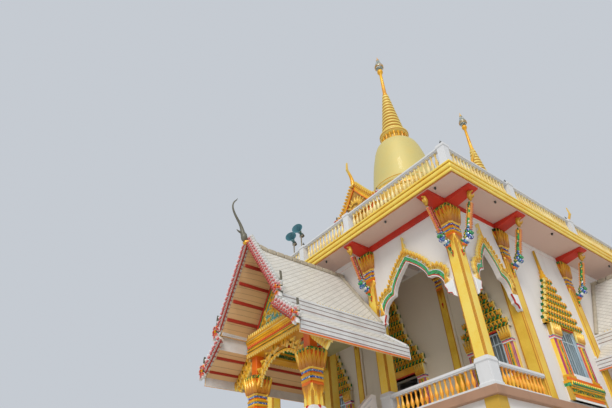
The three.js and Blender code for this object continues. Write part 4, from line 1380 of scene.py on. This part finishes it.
def sweptRoof(piece):
    pickOnly(piece)
    for step in range(1, 6):
        y = -porch["sweepFrom"] - (porch["out"] - porch["sweepFrom"]) * (step - 0.5) / 5.5
        bpy.ops.object.mode_set(mode="EDIT")
        bpy.ops.mesh.select_all(action="SELECT")
        bpy.ops.mesh.bisect(plane_co=(0, y, 0), plane_no=(0, 1, 0))
        bpy.ops.object.mode_set(mode="OBJECT")
    return sweepUp(piece, slopes=True)


def mapTiles(piece, steepness):
    # the map that the tile courses follow: along the roof, and down its slope
    layer = piece.data.uv_layers.new(name="tiles")
    for loop in piece.data.loops:
        co = piece.data.vertices[loop.vertex_index].co
        layer.data[loop.index].uv = (co.y, abs(co.x) * steepness(co.z))
    return piece


def roofShell(back):
    # the whole roof in one shell: tiled slopes, painted fascias, boarded underside
    inner, outer = porch["plateInner"], porch["plateOuter"]
    eave, lowerEave = porch["upperEave"], porch["lowerEave"]
    plate, board = porch["beamTop"] + 0.004, lowerEave - 0.06
    right = [
        (inner, upperRoof(inner, porch["skin"])), (inner, plate), (outer, plate),
        (outer, lowerRoof(outer, porch["lowerSkin"])), (board, lowerRoof(board, porch["lowerSkin"])),
        (board, porch["lowerFoot"]), (lowerEave, porch["lowerFoot"]), (lowerEave, lowerRoof(lowerEave)),
        (eave, lowerRoof(eave)), (eave, upperRoof(eave)),
    ]
    outline = [(0, upperRoof(0, porch["skin"])), *right, (0, porch["ridge"]),
               *[(-x, z) for x, z in reversed(right)]]
    shell = sweptRoof(cutout(outline, -porch["out"], back, "tiles"))
    for finish in ("fascia", "boards"):
        shell.data.materials.append(finishes[finish])
    for face in shell.data.polygons:
        if face.normal.z < 0.3:
            face.material_index = 1 if abs(face.normal.x) > 0.98 and abs(face.center.x) > 1.6 else 2
    return mapTiles(shell, lambda z: math.hypot(1, porch["pitch"] if z > 8.4 else porch["lowerPitch"]))


def fasciaLines(back):
    # fine mouldings along both fascias: from, to, proud and finish, measured down from the eave
    upper = [(-0.02, 0.05, 0.055, "fascia"), (0.05, 0.062, 0.030, "lineRed"),
             (0.062, 0.17, 0.036, "fascia"), (0.17, 0.182, 0.018, "lineRed"),
             (0.182, 0.30, 0.022, "fascia"), (0.30, 0.312, 0.010, "lineRed")]
    lower = [(-0.02, 0.05, 0.055, "fascia"), (0.05, 0.068, 0.030, "lineRed"),
             (0.068, 0.17, 0.036, "fascia"), (0.17, 0.182, 0.018, "lineRed"),
             (0.182, 0.29, 0.022, "fascia"), (0.29, 0.302, 0.008, "lineRed"),
             (0.345, 0.385, 0.014, "orange")]
    parts = []
    for x, top, rows in ((porch["upperEave"], upperRoof(porch["upperEave"]), upper),
                         (porch["lowerEave"], lowerRoof(porch["lowerEave"]), lower)):
        for low, high, out, finish in rows:
            row = (x - 0.02, x + out, -porch["out"], back, top - high, top - low, finish, 0.004)
            parts += mirrored(blocks(row))
    return parts


def ridgeCaps(back):
    # segmented ridge cap, and a rounded cap down each slope beside the wall
    steps, gap = 12, 0.012
    ridge, eave, lowerEave = porch["ridge"], porch["upperEave"], porch["lowerEave"]
    length = back + porch["out"]
    parts = []
    for i in range(steps):
        near, far = back - length * i / steps - gap, back - length * (i + 1) / steps + gap
        cap, = bars((0.10, far, near, ridge - 0.10, ridge + 0.075, "ridge", 0.035, 2))
        parts.append(sweepUp(cap))
    slope = [(0, ridge + 0.02), (0.9, upperRoof(0.9, -0.05)), (eave - 0.02, upperRoof(eave, -0.05))]
    lower = [(eave, porch["lowerStart"] + 0.04), (lowerEave, lowerRoof(lowerEave, -0.04))]
    parts += mirrored([drawn([(x, back - 0.16, z) for x, z in slope], [0.075] * 3, "ridge", 8)])
    return parts + mirrored([drawn([(x, back - 0.1, z) for x, z in lower], [0.05] * 2, "fascia", 8)])


def purlins(back):
    # red purlins under the overhang and a pale band between the tiers
    thin, front, inner = 0.028, -porch["out"] + 0.02, porch["plateInner"]
    rows = [(x, upperRoof(x, porch["skin"]), 0.065, 0.05) for x in (0.30, 0.66, 1.02, 1.38)]
    rows += [(x, lowerRoof(x, porch["lowerSkin"]), 0.06, 0.04) for x in (1.98, 2.42)]
    parts = blocks(*[(x - thin, x + thin, front, back, top - down, top + up, "purlin", 0.006)
                     for x, top, down, up in rows])
    return mirrored(parts + blocks((inner - 0.012, inner + 0.02, front - 0.01, back,
                                    porch["beamTop"] + 0.05,
                                    upperRoof(inner, porch["skin"] + 0.03), "fascia", 0.006)))


boards = {
    "upper": [(0.02, 11.50), (0.35, 10.94), (0.72, 10.36), (1.08, 9.80), (1.40, 9.30), (1.64, 8.92),
              (1.82, 8.66)],
    "lower": [(1.62, 8.36), (1.86, 8.16), (2.12, 7.93), (2.38, 7.72), (2.60, 7.54)],
    "crocketPitch": 0.17,
    "crocketHeight": 0.20,
}


def crocketLine(points, pitch, height, front, finish, start=0.0, lean=0.55):
    total = sum(math.dist(a, b) for a, b in zip(points, points[1:]))
    count = int((total - start) / pitch)
    places = []
    for i in range(count):
        x, z, angle = along(points, (start + (total - start) * (i + 0.5) / count) / total)
        places.append(shift(x, front, z) @ spin(-angle - lean, "Y") @ scale(pitch * 1.05, 0.4, height))
    return scattered(curlLeaf(finish), places)


hangHong = {
    "blade": [(-0.16, -0.22), (0.10, -0.24), (0.20, -0.05), (0.12, 0.14), (0.16, 0.30), (0.09, 0.48),
              (0.10, 0.66), (0.035, 0.86), (0.0, 1.0), (0.0, 0.80), (0.02, 0.60), (-0.03, 0.40),
              (0.0, 0.22), (-0.14, 0.05)],
    "curls": [(-0.10, 0.0, -0.10, 2.4), (0.02, -0.02, -0.16, 1.9), (0.10, 0.0, -0.06, 1.0),
              (-0.06, 0.02, 0.04, 0.3), (0.05, -0.02, 0.12, 0.7), (-0.16, 0.0, -0.02, -0.6)],
    "knots": [(-0.04, -0.03, -0.08, 2.8), (0.06, -0.03, 0.02, 1.4), (-0.10, -0.03, 0.06, -0.3)],
}


def boardEnd(x, z, height, front):
    # a tall blade with a scroll at its foot, at the lower end of a gable board
    outline = [(x + 0.05 + a * height * 0.45, z + b * height) for a, b in hangHong["blade"]]
    parts = [cutout(outline, front - 0.04, front + 0.04, "chofa", 0.01, 0.01)]
    for key, finish, wide, high in (("curls", "boardLeaf", 0.15, 0.17),
                                    ("knots", "orangeLeaf", 0.10, 0.11)):
        size = scale(wide, 0.4, high)
        places = [shift(x + a, front + b, z + c) @ spin(turn, "Y") @ size
                  for a, b, c, turn in hangHong[key]]
        parts.append(scattered(curlLeaf(finish), places))
    return bound(parts)


chofa = {
    "neck": [(4.38, 11.26), (4.50, 11.38), (4.62, 11.54), (4.66, 11.76), (4.76, 11.98), (4.92, 12.20),
             (5.04, 12.42), (5.09, 12.62), (5.05, 12.82), (4.94, 12.95), (4.89, 13.05)],
    "neckRadii": [0.08, 0.10, 0.10, 0.065, 0.05, 0.042, 0.036, 0.032, 0.027, 0.02, 0.008],
    "beak": [(4.64, 11.62), (4.80, 11.60), (4.88, 11.68)],
    "beakRadii": [0.06, 0.035, 0.01],
    "breast": [(0.04, 11.28), (0.09, 11.34), (0.12, 11.45), (0.10, 11.57), (0.04, 11.66)],
    "breastOut": 4.57,
    "collar": [(0.10, 11.20), (0.15, 11.24), (0.15, 11.29), (0.09, 11.33)],
    "collarOut": 4.42,
}


def gableFinial():
    parts = []
    for key in ("neck", "beak"):
        parts.append(drawn([(0, -out, z) for out, z in chofa[key]], chofa[key + "Radii"], "chofa", 8))
    breast = turned(chofa["breast"], 12, "chofa", (0, -chofa["breastOut"]))
    return [*parts, breast, turned(chofa["collar"], 8, "gold", (0, -chofa["collarOut"]))]


def gableDress():
    back = -porch["out"]
    front = back - porch["boards"]
    pitch, height = boards["crocketPitch"], boards["crocketHeight"]
    parts = []
    for line, tall, start in ((boards["upper"], 0.62, 0.12), (boards["lower"], 0.50, 0.0)):
        inner, foot = [(x - 0.10, z - 0.07) for x, z in line], line[-1]
        parts += [
            strip(line, -0.17, 0.0, front + 0.01, back - 0.001, "boardPaint"),
            strip(line, -0.19, -0.155, front - 0.01, front + 0.03, "purlin"),
            strip(line, -0.03, 0.012, front - 0.018, front + 0.02, "white"),
            crocketLine(line, pitch, height, front + 0.07, "boardLeaf", start),
            crocketLine(inner, 0.135, 0.11, front + 0.03, "pinkLeaf", start, 0.35),
            boardEnd(foot[0] + 0.03, foot[1] - 0.02, tall, front + 0.05),
        ]
    return bound([*mirrored(parts), *gableFinial()])


pediment = {
    "rails": [(-0.10, 0.0, "red", 0.04), (-0.20, -0.10, "green", 0.03), (-0.25, -0.20, "gold", 0.045)],
    "medallion": [(0.46, 14, 0.26), (0.28, 10, 0.2), (0.12, 6, 0.14)],  # radius, leaves, leaf height
    "medallionRise": 1.0,
}


def pedimentField():
    # mosaic field framed in red, green and gold, with a leaf medallion and scrolls
    out, low, half = -porch["columnOut"], porch["beamTop"], porch["plateInner"] - 0.02
    apex, shoulder = (upperRoof(x, porch["skin"] + 0.02) for x in (0, half))
    front = out - 0.06
    field = [(-half, low), (half, low), (half, shoulder), (0, apex), (-half, shoulder)]
    parts = [cutout(field, front - 0.012, out, "teal")]
    slope = [(0, apex - 0.03), (half - 0.02, shoulder - 0.03)]
    for inner, outer, finish, proud in pediment["rails"]:
        parts += mirrored([strip(slope, inner, outer, front - proud, front + 0.01, finish)])
    petals, vine = [], []
    for ring, (radius, count, height) in enumerate(pediment["medallion"]):
        centre = shift(0, front - 0.012 - ring * 0.02, low + pediment["medallionRise"])
        petals += [centre @ spin(2 * math.pi * i / count, "Y") @ shift(z=radius - 0.1)
                   @ scale(0.15, 0.25, height)
                   for i in range(count)]
    for i in range(11):
        x, z, turn = 0.66 + (i % 4) * 0.17, low + 0.12 + (i // 4) * 0.27, 0.5 if i % 2 else -0.5
        if z + 0.25 < upperRoof(x, porch["skin"] + 0.3):
            size = scale(0.16, 0.25, 0.22)
            vine += [shift(way * x, front - 0.012, z) @ spin(way * turn, "Y") @ size for way in (1, -1)]
    return [*parts, scattered(flameLeaf("leaf"), petals), scattered(curlLeaf("leaf"), vine)]


entablature = {
    "bands": [(0.0, 0.07, 0.02, "gold"), (0.07, 0.20, 0.0, "darkGreen"), (0.20, 0.27, 0.03, "gold"),
              (0.27, 0.40, 0.005, "green"), (0.40, 0.48, 0.035, "gold"), (0.48, 0.60, 0.06, "gold")],
    "leafPitch": 0.12,
}


def entablatureDress():
    # gilded bands round three sides, with leaves up and down
    out, end, pitch = porch["columnOut"], porch["columnX"] + 0.24, entablature["leafPitch"]
    low, high, front = porch["beamLow"], porch["beamTop"] - 0.03, -porch["columnOut"] - 0.25
    parts = []
    for bottom, top, proud, finish in entablature["bands"]:
        wide, looks = end + proud, (low + bottom, low + top, finish, 0.008)
        parts += bars((wide, front - proud, -out + 0.24, *looks))
        parts += blocks(*[(side * wide, side * (end - 0.46), -out + 0.2, -0.12, *looks)
                          for side in (-1, 1)])
    for side in (-1, 1):
        for height, z, proud, down in ((0.2, high, 0.05, False), (0.16, low + 0.14, 0.02, True)):
            row = leafRow(out - 0.3, pitch, height, 0.05, "leaf", down)
            parts.append(moved(row, shift(side * (end + proud), -out / 2 - 0.1, z)
                               @ spin(quarterTurn * side)))
    for more, step, height, depth, finish, down, proud, z in (
            (0.08, pitch, 0.22, 0.05, "leaf", False, 0.05, high),
            (0.04, pitch, 0.17, 0.05, "leaf", True, 0.02, low + 0.14),
            (0.0, 0.10, 0.14, 0.04, "orangeLeaf", False, 0.005, low + 0.30)):
        row = leafRow(2 * end + more, step, height, depth, finish, down)
        parts.append(moved(row, shift(0, front - proud, z)))
    return parts


filigree = {"span": 1.17, "foot": 7.0, "peak": 7.66, "steps": 8, "scrolls": 10}


def filigreeArch():
    # gold openwork between the columns: two ribs with scrolls and leaves between them
    out = -porch["columnOut"]
    span, foot, peak, steps = (filigree[key] for key in ("span", "foot", "peak", "steps"))
    inner, outer = [], []
    for i in range(steps + 1):
        t = i / steps
        x = span * math.cos(t * quarterTurn) ** 0.8 if t < 1 else 0
        z = foot + (peak - foot) * math.sin(t * quarterTurn) ** 1.6
        inner.append((x, z - 0.16 + 0.10 * t))
        outer.append((min(x + 0.02 + 0.10 * (1 - t), 1.2), min(z + 0.12, porch["beamLow"] + 0.01)))
    parts = [strip(inner, -0.02, 0.035, out - 0.09, out - 0.03, "gold"),
             strip(outer, -0.03, 0.03, out - 0.09, out - 0.03, "gold")]
    scrolls, leaves, wing = [], [], []
    for i in range(filigree["scrolls"]):
        t = (i + 0.5) / filigree["scrolls"] * steps
        k = min(int(t), steps - 1)
        x, z = (a * (1 - t + k) + b * (t - k) for a, b in zip(inner[k], inner[k + 1]))
        scrolls.append(shift(x + 0.04, out - 0.06, z + 0.13) @ spin((i % 2) * 1.6 - 1.2, "Y")
                       @ scale(0.23, 0.35, 0.25))
        leaves.append(shift(x, out - 0.05, z - 0.01) @ spin(math.pi + (x - 0.5) * 0.8, "Y")
                      @ scale(0.10, 0.25, 0.11))
    for i in range(7):  # leaves that hang beside the column, under the lower eave
        drop = i * 0.115
        wing += [shift(1.76 + i * 0.125, out - 0.10, 7.94 - drop) @ spin(2.3 + (i % 2) * 0.5, "Y")
                 @ scale(0.24, 0.4, 0.34 - i * 0.02),
                 shift(1.74 + i * 0.105, out - 0.07, 7.78 - drop) @ spin(2.9, "Y")
                 @ scale(0.2, 0.4, 0.36 - i * 0.03)]
    for leaf, places in ((curlLeaf, scrolls), (flameLeaf, leaves), (curlLeaf, wing)):
        parts.append(scattered(leaf("leaf"), places))
    return mirrored(parts)


def porchColumns():
    # two columns, each with a square neck between its capital and the beam
    out, neck, top = porch["columnOut"], 0.15, porch["capitalTop"]
    shape = columnShape(porch["columnHalf"], 0.0, floorTop, porch["pedestalHalf"], porch["rings"],
                        porch["lotus"], top)
    low, high = top - 0.02, porch["beamLow"] + 0.02
    xs = (-porch["columnX"], porch["columnX"])
    parts = [scattered(shape, [shift(x, -out) for x in xs])]
    for x in xs:
        parts += blocks((x - neck, x + neck, -out - neck, -out + neck, low, high, "orange", 0.01))
    return parts


def porchCeiling():
    # the ceiling panel is painted olive-brown as shade, with red cross beams and a gold edge
    out, top, inner = porch["columnOut"], porch["beamTop"], porch["columnX"] - 0.24
    return bars((inner, -out + 0.2, 0.05, top - 0.075, top - 0.01, "ceiling"),
                (inner, -out * 0.66, -out * 0.66 + 0.12, top - 0.13, top - 0.06, "red", 0.01),
                (inner, -out * 0.33, -out * 0.33 + 0.12, top - 0.13, top - 0.06, "red", 0.01),
                (inner, -out, -out + 0.21, top - 0.07, top - 0.02, "gold"))


def buildPorches():
    body = bound([*pedimentField(), *entablatureDress(), *filigreeArch(), *porchColumns(), *porchCeiling()])
    gable = gableDress()
    for side in ("front", "left", "right"):
        name = side.title()
        back = 0.05 if side == "front" else 0.16  # the side walls stand further back than the front beam
        roof = bound([roofShell(back), *fasciaLines(back - 0.06), *ridgeCaps(back), *purlins(back)])
        publish(roof, f"porchRoof{name}", "roof_tiles", f"{side}_porch_roof", side=side)
        publish(twin(body, shift()), f"porchBody{name}", "gold_paint", f"{side}_porch_frame", side=side)
        publish(twin(gable, shift()), f"gableBoards{name}", "gable_paint", f"{side}_porch_boards",
                side=side)
    discard(body, gable)
    print("porches")


# Stairs: cement steps, white parapets with balusters between rail and curb
stair = {"steps": 30, "going": 0.22, "nosing": 0.11, "outer": 1.09, "parapet": 0.18, "height": 0.82,
         "newel": 0.2, "bays": 3, "newelCap": 0.97}


def stairTrim():
    going, nosing, newel, bays = (stair[key] for key in ("going", "nosing", "newel", "bays"))
    treads = stair["steps"] - 1
    rise = floorTop / stair["steps"]
    foot = -nosing - going * treads
    start, end = -nosing - newel, foot + newel
    middle = stair["outer"] - stair["parapet"] / 2

    def line(y, above=0.0):
        return floorTop + (y + nosing) * rise / going + above

    places = []
    for i in range(bays):
        near = start + (end - start) * i / bays - newel / 2
        far = start + (end - start) * (i + 1) / bays + newel / 2
        count = int((near - far) / baluster["pitch"])
        for k in range(count):
            y = near + (far - near) * (k + 0.5) / count
            places += [shift(x, y, line(y, 0.13)) for x in (-middle, middle)]
    parts = [scattered(balusterShape(0.57, "balusterGold"), places)]
    height, wide, top = stair["height"], 0.11, rise + stair["newelCap"]
    rail = [(start, line(start, height)), (end, line(end, height)), (end, line(end, height + 0.05)),
            (start, line(start, height + 0.05))]
    for x in (-middle, middle):
        cap = moved(cutout(rail, -wide, wide, "rail"), shift(x) @ spin(quarterTurn))
        parts += [soften(cap, 0.012),
                  *blocks((x - wide, x + wide, foot - 0.198, foot + 0.22, top, top + 0.06, "rail", 0.015)),
                  ballFinial((x, foot), top + 0.06, 0.12, "lamp")]
    inner = stair["outer"] - stair["parapet"]
    for i in range(treads):
        y, z = -nosing - going * i, rise * (treads - i)
        parts += bars((inner, y - going - 0.012, y, z - 0.03, z + 0.004, "cement", 0.006))
    return bound(parts)


def buildStairs():
    trim = stairTrim()
    for side in ("front", "left", "right"):
        publish(twin(trim, shift()), f"stairTrim{side.title()}", "white_plaster", side=side)
        coat(frame["nodes"][f"{side}_porch_stair"], "plaster")
    discard(trim)
    print("stairs")


# Chedis: gilded base with four small gabled porticoes, bell, ringed spire
chedi = {
    "half": 1.9,
    "out": 3.96,
    "porticoHalf": 1.05,
    "eave": 15.0,
    "apex": 16.5,
    "gableLine": [(0.0, 0.06), (0.30, -0.36), (0.62, -0.80), (0.92, -1.18), (1.30, -1.46)],
    "horn": [(0.02, -0.05), (0.03, 0.25), (0.10, 0.50), (0.25, 0.78), (0.30, 1.0), (0.24, 1.26)],
    "hornRadii": [0.12, 0.10, 0.07, 0.055, 0.04, 0.01],
    "arch": [(0.57, 14.3), (0.46, 14.56), (0.25, 14.74), (0.0, 14.92)],
    "eaveBands": [(-0.12, -0.02, 0.05, "gold"), (-0.02, 0.05, 0.08, "orange"), (0.05, 0.10, 0.06, "gold")],
    "footBands": [(0.0, 0.14, 0.05, "gold"), (0.14, 0.24, 0.02, "orange"), (0.24, 0.36, 0.045, "gold")],
    "foot": [(0.42, 0), (0.42, 0.16), (0.34, 0.22), (0.34, 0.32), (0.12, 0.42), (0.02, 0.55)],
    "body": [(0.02, 14.6), (0.10, 14.75), (0.18, 14.9), (0.10, 15.0), (0.10, 15.12), (-0.06, 15.3),
             (-0.06, 15.42), (-0.22, 15.6), (-0.22, 15.74), (-0.36, 15.9), (-0.36, 16.05), (-0.55, 16.2)],
    "drum": [(1.78, 16.0), (1.84, 16.12), (1.72, 16.24), (1.72, 16.4), (1.90, 16.55), (2.02, 16.72),
             (2.04, 16.85), (1.90, 16.98), (1.84, 17.05), (1.96, 17.14), (1.98, 17.24), (1.86, 17.34),
             (1.90, 17.44), (1.80, 17.52)],
    "bell": [(1.86, 17.50), (1.88, 17.60), (1.80, 17.70), (1.74, 17.80), (1.70, 18.10), (1.645, 18.42),
             (1.60, 18.8), (1.53, 19.3), (1.45, 19.8), (1.36, 20.2), (1.28, 20.55), (1.16, 20.88),
             (1.0, 21.10), (0.86, 21.22), (0.78, 21.30)],
    "neck": [(0.58, 21.28), (0.58, 21.72), (0.78, 21.80), (0.84, 21.88), (0.84, 21.97), (0.70, 22.04),
             (0.66, 22.10)],
    "rings": 12,
    "ringsLow": 22.10,
    "ringsHigh": 25.46,
    "ringFirst": 0.64,
    "ringTaper": 0.47,
    "ring": [(0.84, 0.02), (1.0, 0.28), (1.03, 0.48), (1.0, 0.68), (0.84, 0.94)],
    "shaft": [(0.145, 25.50), (0.16, 25.58), (0.12, 25.68), (0.105, 26.5), (0.085, 27.55), (0.15, 27.66),
              (0.185, 27.76), (0.185, 27.84), (0.15, 27.94), (0.08, 28.02)],
    "bud": [(0.09, 28.0), (0.20, 28.08), (0.27, 28.22), (0.28, 28.34), (0.22, 28.56), (0.14, 28.80),
            (0.09, 28.98)],
    "tip": [(0.095, 28.96), (0.11, 29.0), (0.06, 29.06), (0.03, 29.16), (0.012, 29.335)],
    "colonnette": [(0.05, 21.30), (0.05, 21.36), (0.032, 21.42), (0.032, 21.66), (0.05, 21.72),
                   (0.05, 21.80)],
}


def smallGable():
    # dressing of one portico, facing -Y
    out, half, eave, apex = (chedi[key] for key in ("out", "porticoHalf", "eave", "apex"))
    line = [(x, apex + z) for x, z in chedi["gableLine"]]
    front = -out - 0.012
    gable = [
        strip(line, -0.20, 0.0, front - 0.03, front + 0.05, "gold"),
        strip(line, -0.20, -0.165, front - 0.045, front, "orange"),
        crocketLine(line, 0.15, 0.19, front + 0.02, "leaf", 0.08),
        boardEnd(line[-1][0] + 0.02, line[-1][1] + 0.02, 0.42, front + 0.03),
    ]
    for x in (half - 0.13, 0.66):
        for wide, proud, low, high, *looks in (
                (0.09, -0.02, corniceTop + 0.4, eave - 0.35, "columnGold", 0.012),
                (0.12, 0.01, eave - 0.35, eave - 0.12, "orange", 0.02),
                (0.12, 0.01, corniceTop + 0.35, corniceTop + 0.52, "gold", 0.02)):
            gable += blocks((x - wide, x + wide, -out - proud, -out + 0.14, low, high, *looks))
    edge = [(0.57, corniceTop + 0.45), *chedi["arch"]]
    gable.append(strip(edge, -0.09, 0.0, -out + 0.05, -out + 0.13, "gold"))
    tympanum = [(-0.95, eave + 0.02), (0.95, eave + 0.02), (0, apex - 0.34)]
    parts = [*mirrored(gable), cutout(tympanum, front + 0.004, front + 0.05, "tympanum")]
    fan = [shift(0, front, eave + 0.12) @ spin((i - 3) * 0.36, "Y") @ shift(0, 0, 0.12)
           @ scale(0.17, 0.3, 0.55)
           for i in range(7)]
    parts.append(scattered(flameLeaf("leaf"), fan))
    parts += bars(*[(half + proud, front - proud, -out + 0.3, eave + low, eave + high, finish, 0.01)
                    for low, high, proud, finish in chedi["eaveBands"]])
    parts.append(moved(leafRow(2 * half, 0.13, 0.14, 0.05, "leaf", True),
                       shift(0, front - 0.05, eave - 0.10)))
    for low, high, proud, finish in chedi["footBands"]:
        low, high = corniceTop + low, corniceTop + high
        parts += bars((half + proud, -out + 0.12 - proud, -2.0, low, high, finish, 0.012))
    parts.append(drawn([(0, -out - y, apex + z) for y, z in chedi["horn"]], chedi["hornRadii"], "gold"))
    return bound(parts)


def porticoRoof():
    # small tiled slopes over each portico, with a ridge cap
    out, half, eave, apex = (chedi[key] for key in ("out", "porticoHalf", "eave", "apex"))
    outline = [(0, apex - 0.16), (half + 0.16, eave - 0.02), (half + 0.20, eave + 0.06), (0, apex)]
    slope = mapTiles(cutout(outline, -out + 0.05, -1.5, "tiles"), lambda z: 1.7)
    return mirrored([slope]) + bars((0.07, -out + 0.1, -1.5, apex - 0.06, apex + 0.05, "gold", 0.03, 2))


def chediBody():
    half, petalCount = chedi["half"], 40
    rings = [(half + out, corniceTop + z) for out, z in chedi["foot"]] + [(half + out, z)
                                                                          for out, z in chedi["body"]]
    petals = []
    for i in range(petalCount):
        for step, out, z, lean, height in ((i, 1.96, 16.98, -0.1, 0.3), (i + 0.5, 1.90, 16.62, 0.1, -0.3)):
            petals.append(spin(2 * math.pi * step / petalCount) @ shift(0, -out, z) @ spin(lean, "X")
                          @ scale(0.30, 0.35, height))
    return [steppedPrism(rings, "chediGold", 0.16), turned(chedi["drum"], 48, "chediGold"),
            scattered(flameLeaf("leaf"), petals)]


def goldBand(radius, z, height, proud, sides):
    return turned([(radius, z), (radius + proud, z + height / 2), (radius, z + height)], sides, "gold")


def chediSpire():
    rings, low = list(chedi["neck"]), chedi["ringsLow"]
    rise = (chedi["ringsHigh"] - low) / chedi["rings"]
    for i in range(chedi["rings"]):
        radius = chedi["ringFirst"] - chedi["ringTaper"] * i / chedi["rings"]
        rings += [(radius * wide, low + rise * (i + up)) for wide, up in chedi["ring"]]
    parts = [turned(rings, 28, "spire"), turned(chedi["shaft"], 16, "gold"),
             turned(chedi["bud"], 14, "budMosaic"),
             turned(chedi["tip"], 10, "gold"),
             *[goldBand(0.275, z, 0.04, 0.017, 14) for z in (28.20, 28.32)]]
    places = [spin(2 * math.pi * i / 18) @ shift(0, -0.70) for i in range(18)]
    return bound([*parts, scattered(turned(chedi["colonnette"], 8, "gold"), places)])


def chediBell():
    bands = [goldBand(radius, z, 0.06, 0.03, 64) for radius, z in ((1.765, 17.74), (0.80, 21.25))]
    return bound([turned(chedi["bell"], 64, "bell"), *bands])


def buildChedis():
    portico = bound([smallGable(), *porticoRoof()])
    base = bound([*chediBody(), *[twin(portico, spin(quarter * quarterTurn)) for quarter in range(4)]])
    spire, bell = chediSpire(), chediBell()
    for name, y in (("front", -chediY), ("rear", chediY)):
        label, place = name.title(), shift(0, y)
        publish(twin(base, place), f"chediTrim{label}", "gold_paint")
        coat(frame["nodes"][f"chedi_{name}_base"], "chediGold")
        publish(twin(spire, place), f"chediSpire{label}", "gold_paint", f"chedi_{name}_spire")
        publish(twin(bell, place), f"chediBell{label}", "pale_gold_paint", f"chedi_{name}_bell")
    discard(portico, base, spire, bell)
    print("chedis")


# Horn loudspeakers on the terrace, and small lamps under the eaves
speaker = {
    "places": [(-1.62, -10.35, 13.92, 0.5), (-2.16, -10.35, 13.78, 0.6), (-6.1, -10.3, 13.9, 0.5)],
    "horn": [(0.05, 0), (0.07, 0.10), (0.11, 0.22), (0.19, 0.36), (0.25, 0.42), (0.24, 0.42), (0.16, 0.34),
             (0.04, 0.18)],
    "cup": [(0.06, -0.20), (0.09, -0.18), (0.09, -0.04), (0.05, 0.0)],
    "tilt": 0.12,
}
eaveLamp = {"profile": [(0.035, -0.08), (0.04, -0.03), (0.03, 0.0)], "xs": (-5.6, -3.3, 0, 3.3, 5.6),
            "ys": (-8.1, -4.5, 0, 4.5, 8.1), "setback": 0.22}


def buildFittings():
    shape = bound([turned(speaker["horn"], 20, "speaker"), turned(speaker["cup"], 12, "lamp")])
    parts = []
    for x, y, z, heading in speaker["places"]:
        parts.append(twin(shape, shift(x, y, z) @ spin(heading) @ spin(quarterTurn - speaker["tilt"], "X")))
        parts += blocks((x - 0.02, x + 0.02, y - 0.02, y + 0.02, corniceTop + 0.8, z, "ridge"),
                        (x - 0.09, x + 0.09, y - 0.03, y + 0.03, z - 0.14, z - 0.08, "ridge", 0.008))
    discard(shape)
    publish(bound(parts), "loudspeakers", "gold_paint")
    x, y = corniceX - eaveLamp["setback"], corniceY - eaveLamp["setback"]
    spots = [shift(spot, way * y, soffit) for spot in eaveLamp["xs"] for way in (-1, 1)]
    spots += [shift(way * x, spot, soffit) for spot in eaveLamp["ys"] for way in (1, -1)]
    publish(scattered(turned(eaveLamp["profile"], 10, "lamp"), spots), "eaveLamps", "gold_paint")
    print("fittings")


def buildWallsAndFloors():
    for side in faces:
        coat(frame["nodes"][f"lower_wall_{side}"], "wall")
    coat(frame["nodes"]["ground_floor"], "cement")
    edge = addFinish(recoat("upper_floor", "slabEdge", 0.02, 2), "cement", lambda face: face.normal.z > 0.9)
    publish(edge, "upperFloorSlab", "floor_edge", "upper_floor")
    print("walls and floors")


# Light a user would change
light = {"sky": (0.80, 0.85, 0.92, 1), "skyStrength": 0.70, "sun": (1.0, 0.97, 0.92), "sunStrength": 2.1,
         "sunSpread": 30, "sunHeight": 42, "sunHeading": 38}


def addFloorAndLight():
    bpy.ops.mesh.primitive_plane_add(size=400, location=(0, 0, -0.002))
    floor = bpy.context.object
    floor.name = "studioFloor"
    ground = Finish("floorPaper", roughness=0.9)
    ground.paint(ground.mix(ground.noise(0.05, 2), (0.72, 0.72, 0.71), (0.66, 0.66, 0.66)))
    floor.data.materials.append(ground.material)
    bpy.context.scene.view_settings.view_transform = "Standard"
    world = bpy.data.worlds.new("softLight")
    bpy.context.scene.world = world
    world.use_nodes = True
    sky = world.node_tree.nodes["Background"]
    sky.inputs[0].default_value = light["sky"]
    sky.inputs[1].default_value = light["skyStrength"]
    sun = bpy.data.lights.new("keyLight", "SUN")
    sun.energy = light["sunStrength"]
    sun.angle = math.radians(light["sunSpread"])
    sun.color = light["sun"]
    key = bpy.data.objects.new("keyLight", sun)
    bpy.context.scene.collection.objects.link(key)
    key.rotation_euler = (math.radians(90 - light["sunHeight"]), 0, math.radians(light["sunHeading"]))
    print("floor and light")


addCamera(cameraPlace)
buildWallsAndFloors()
buildCornice()
buildBeams()
buildTerraceRails()
buildVerandaColumns()
buildPilasters()
buildBrackets()
buildArches()
buildVerandaRails()
buildFrames()
buildPorches()
buildStairs()
buildChedis()
buildFittings()
addFloorAndLight()
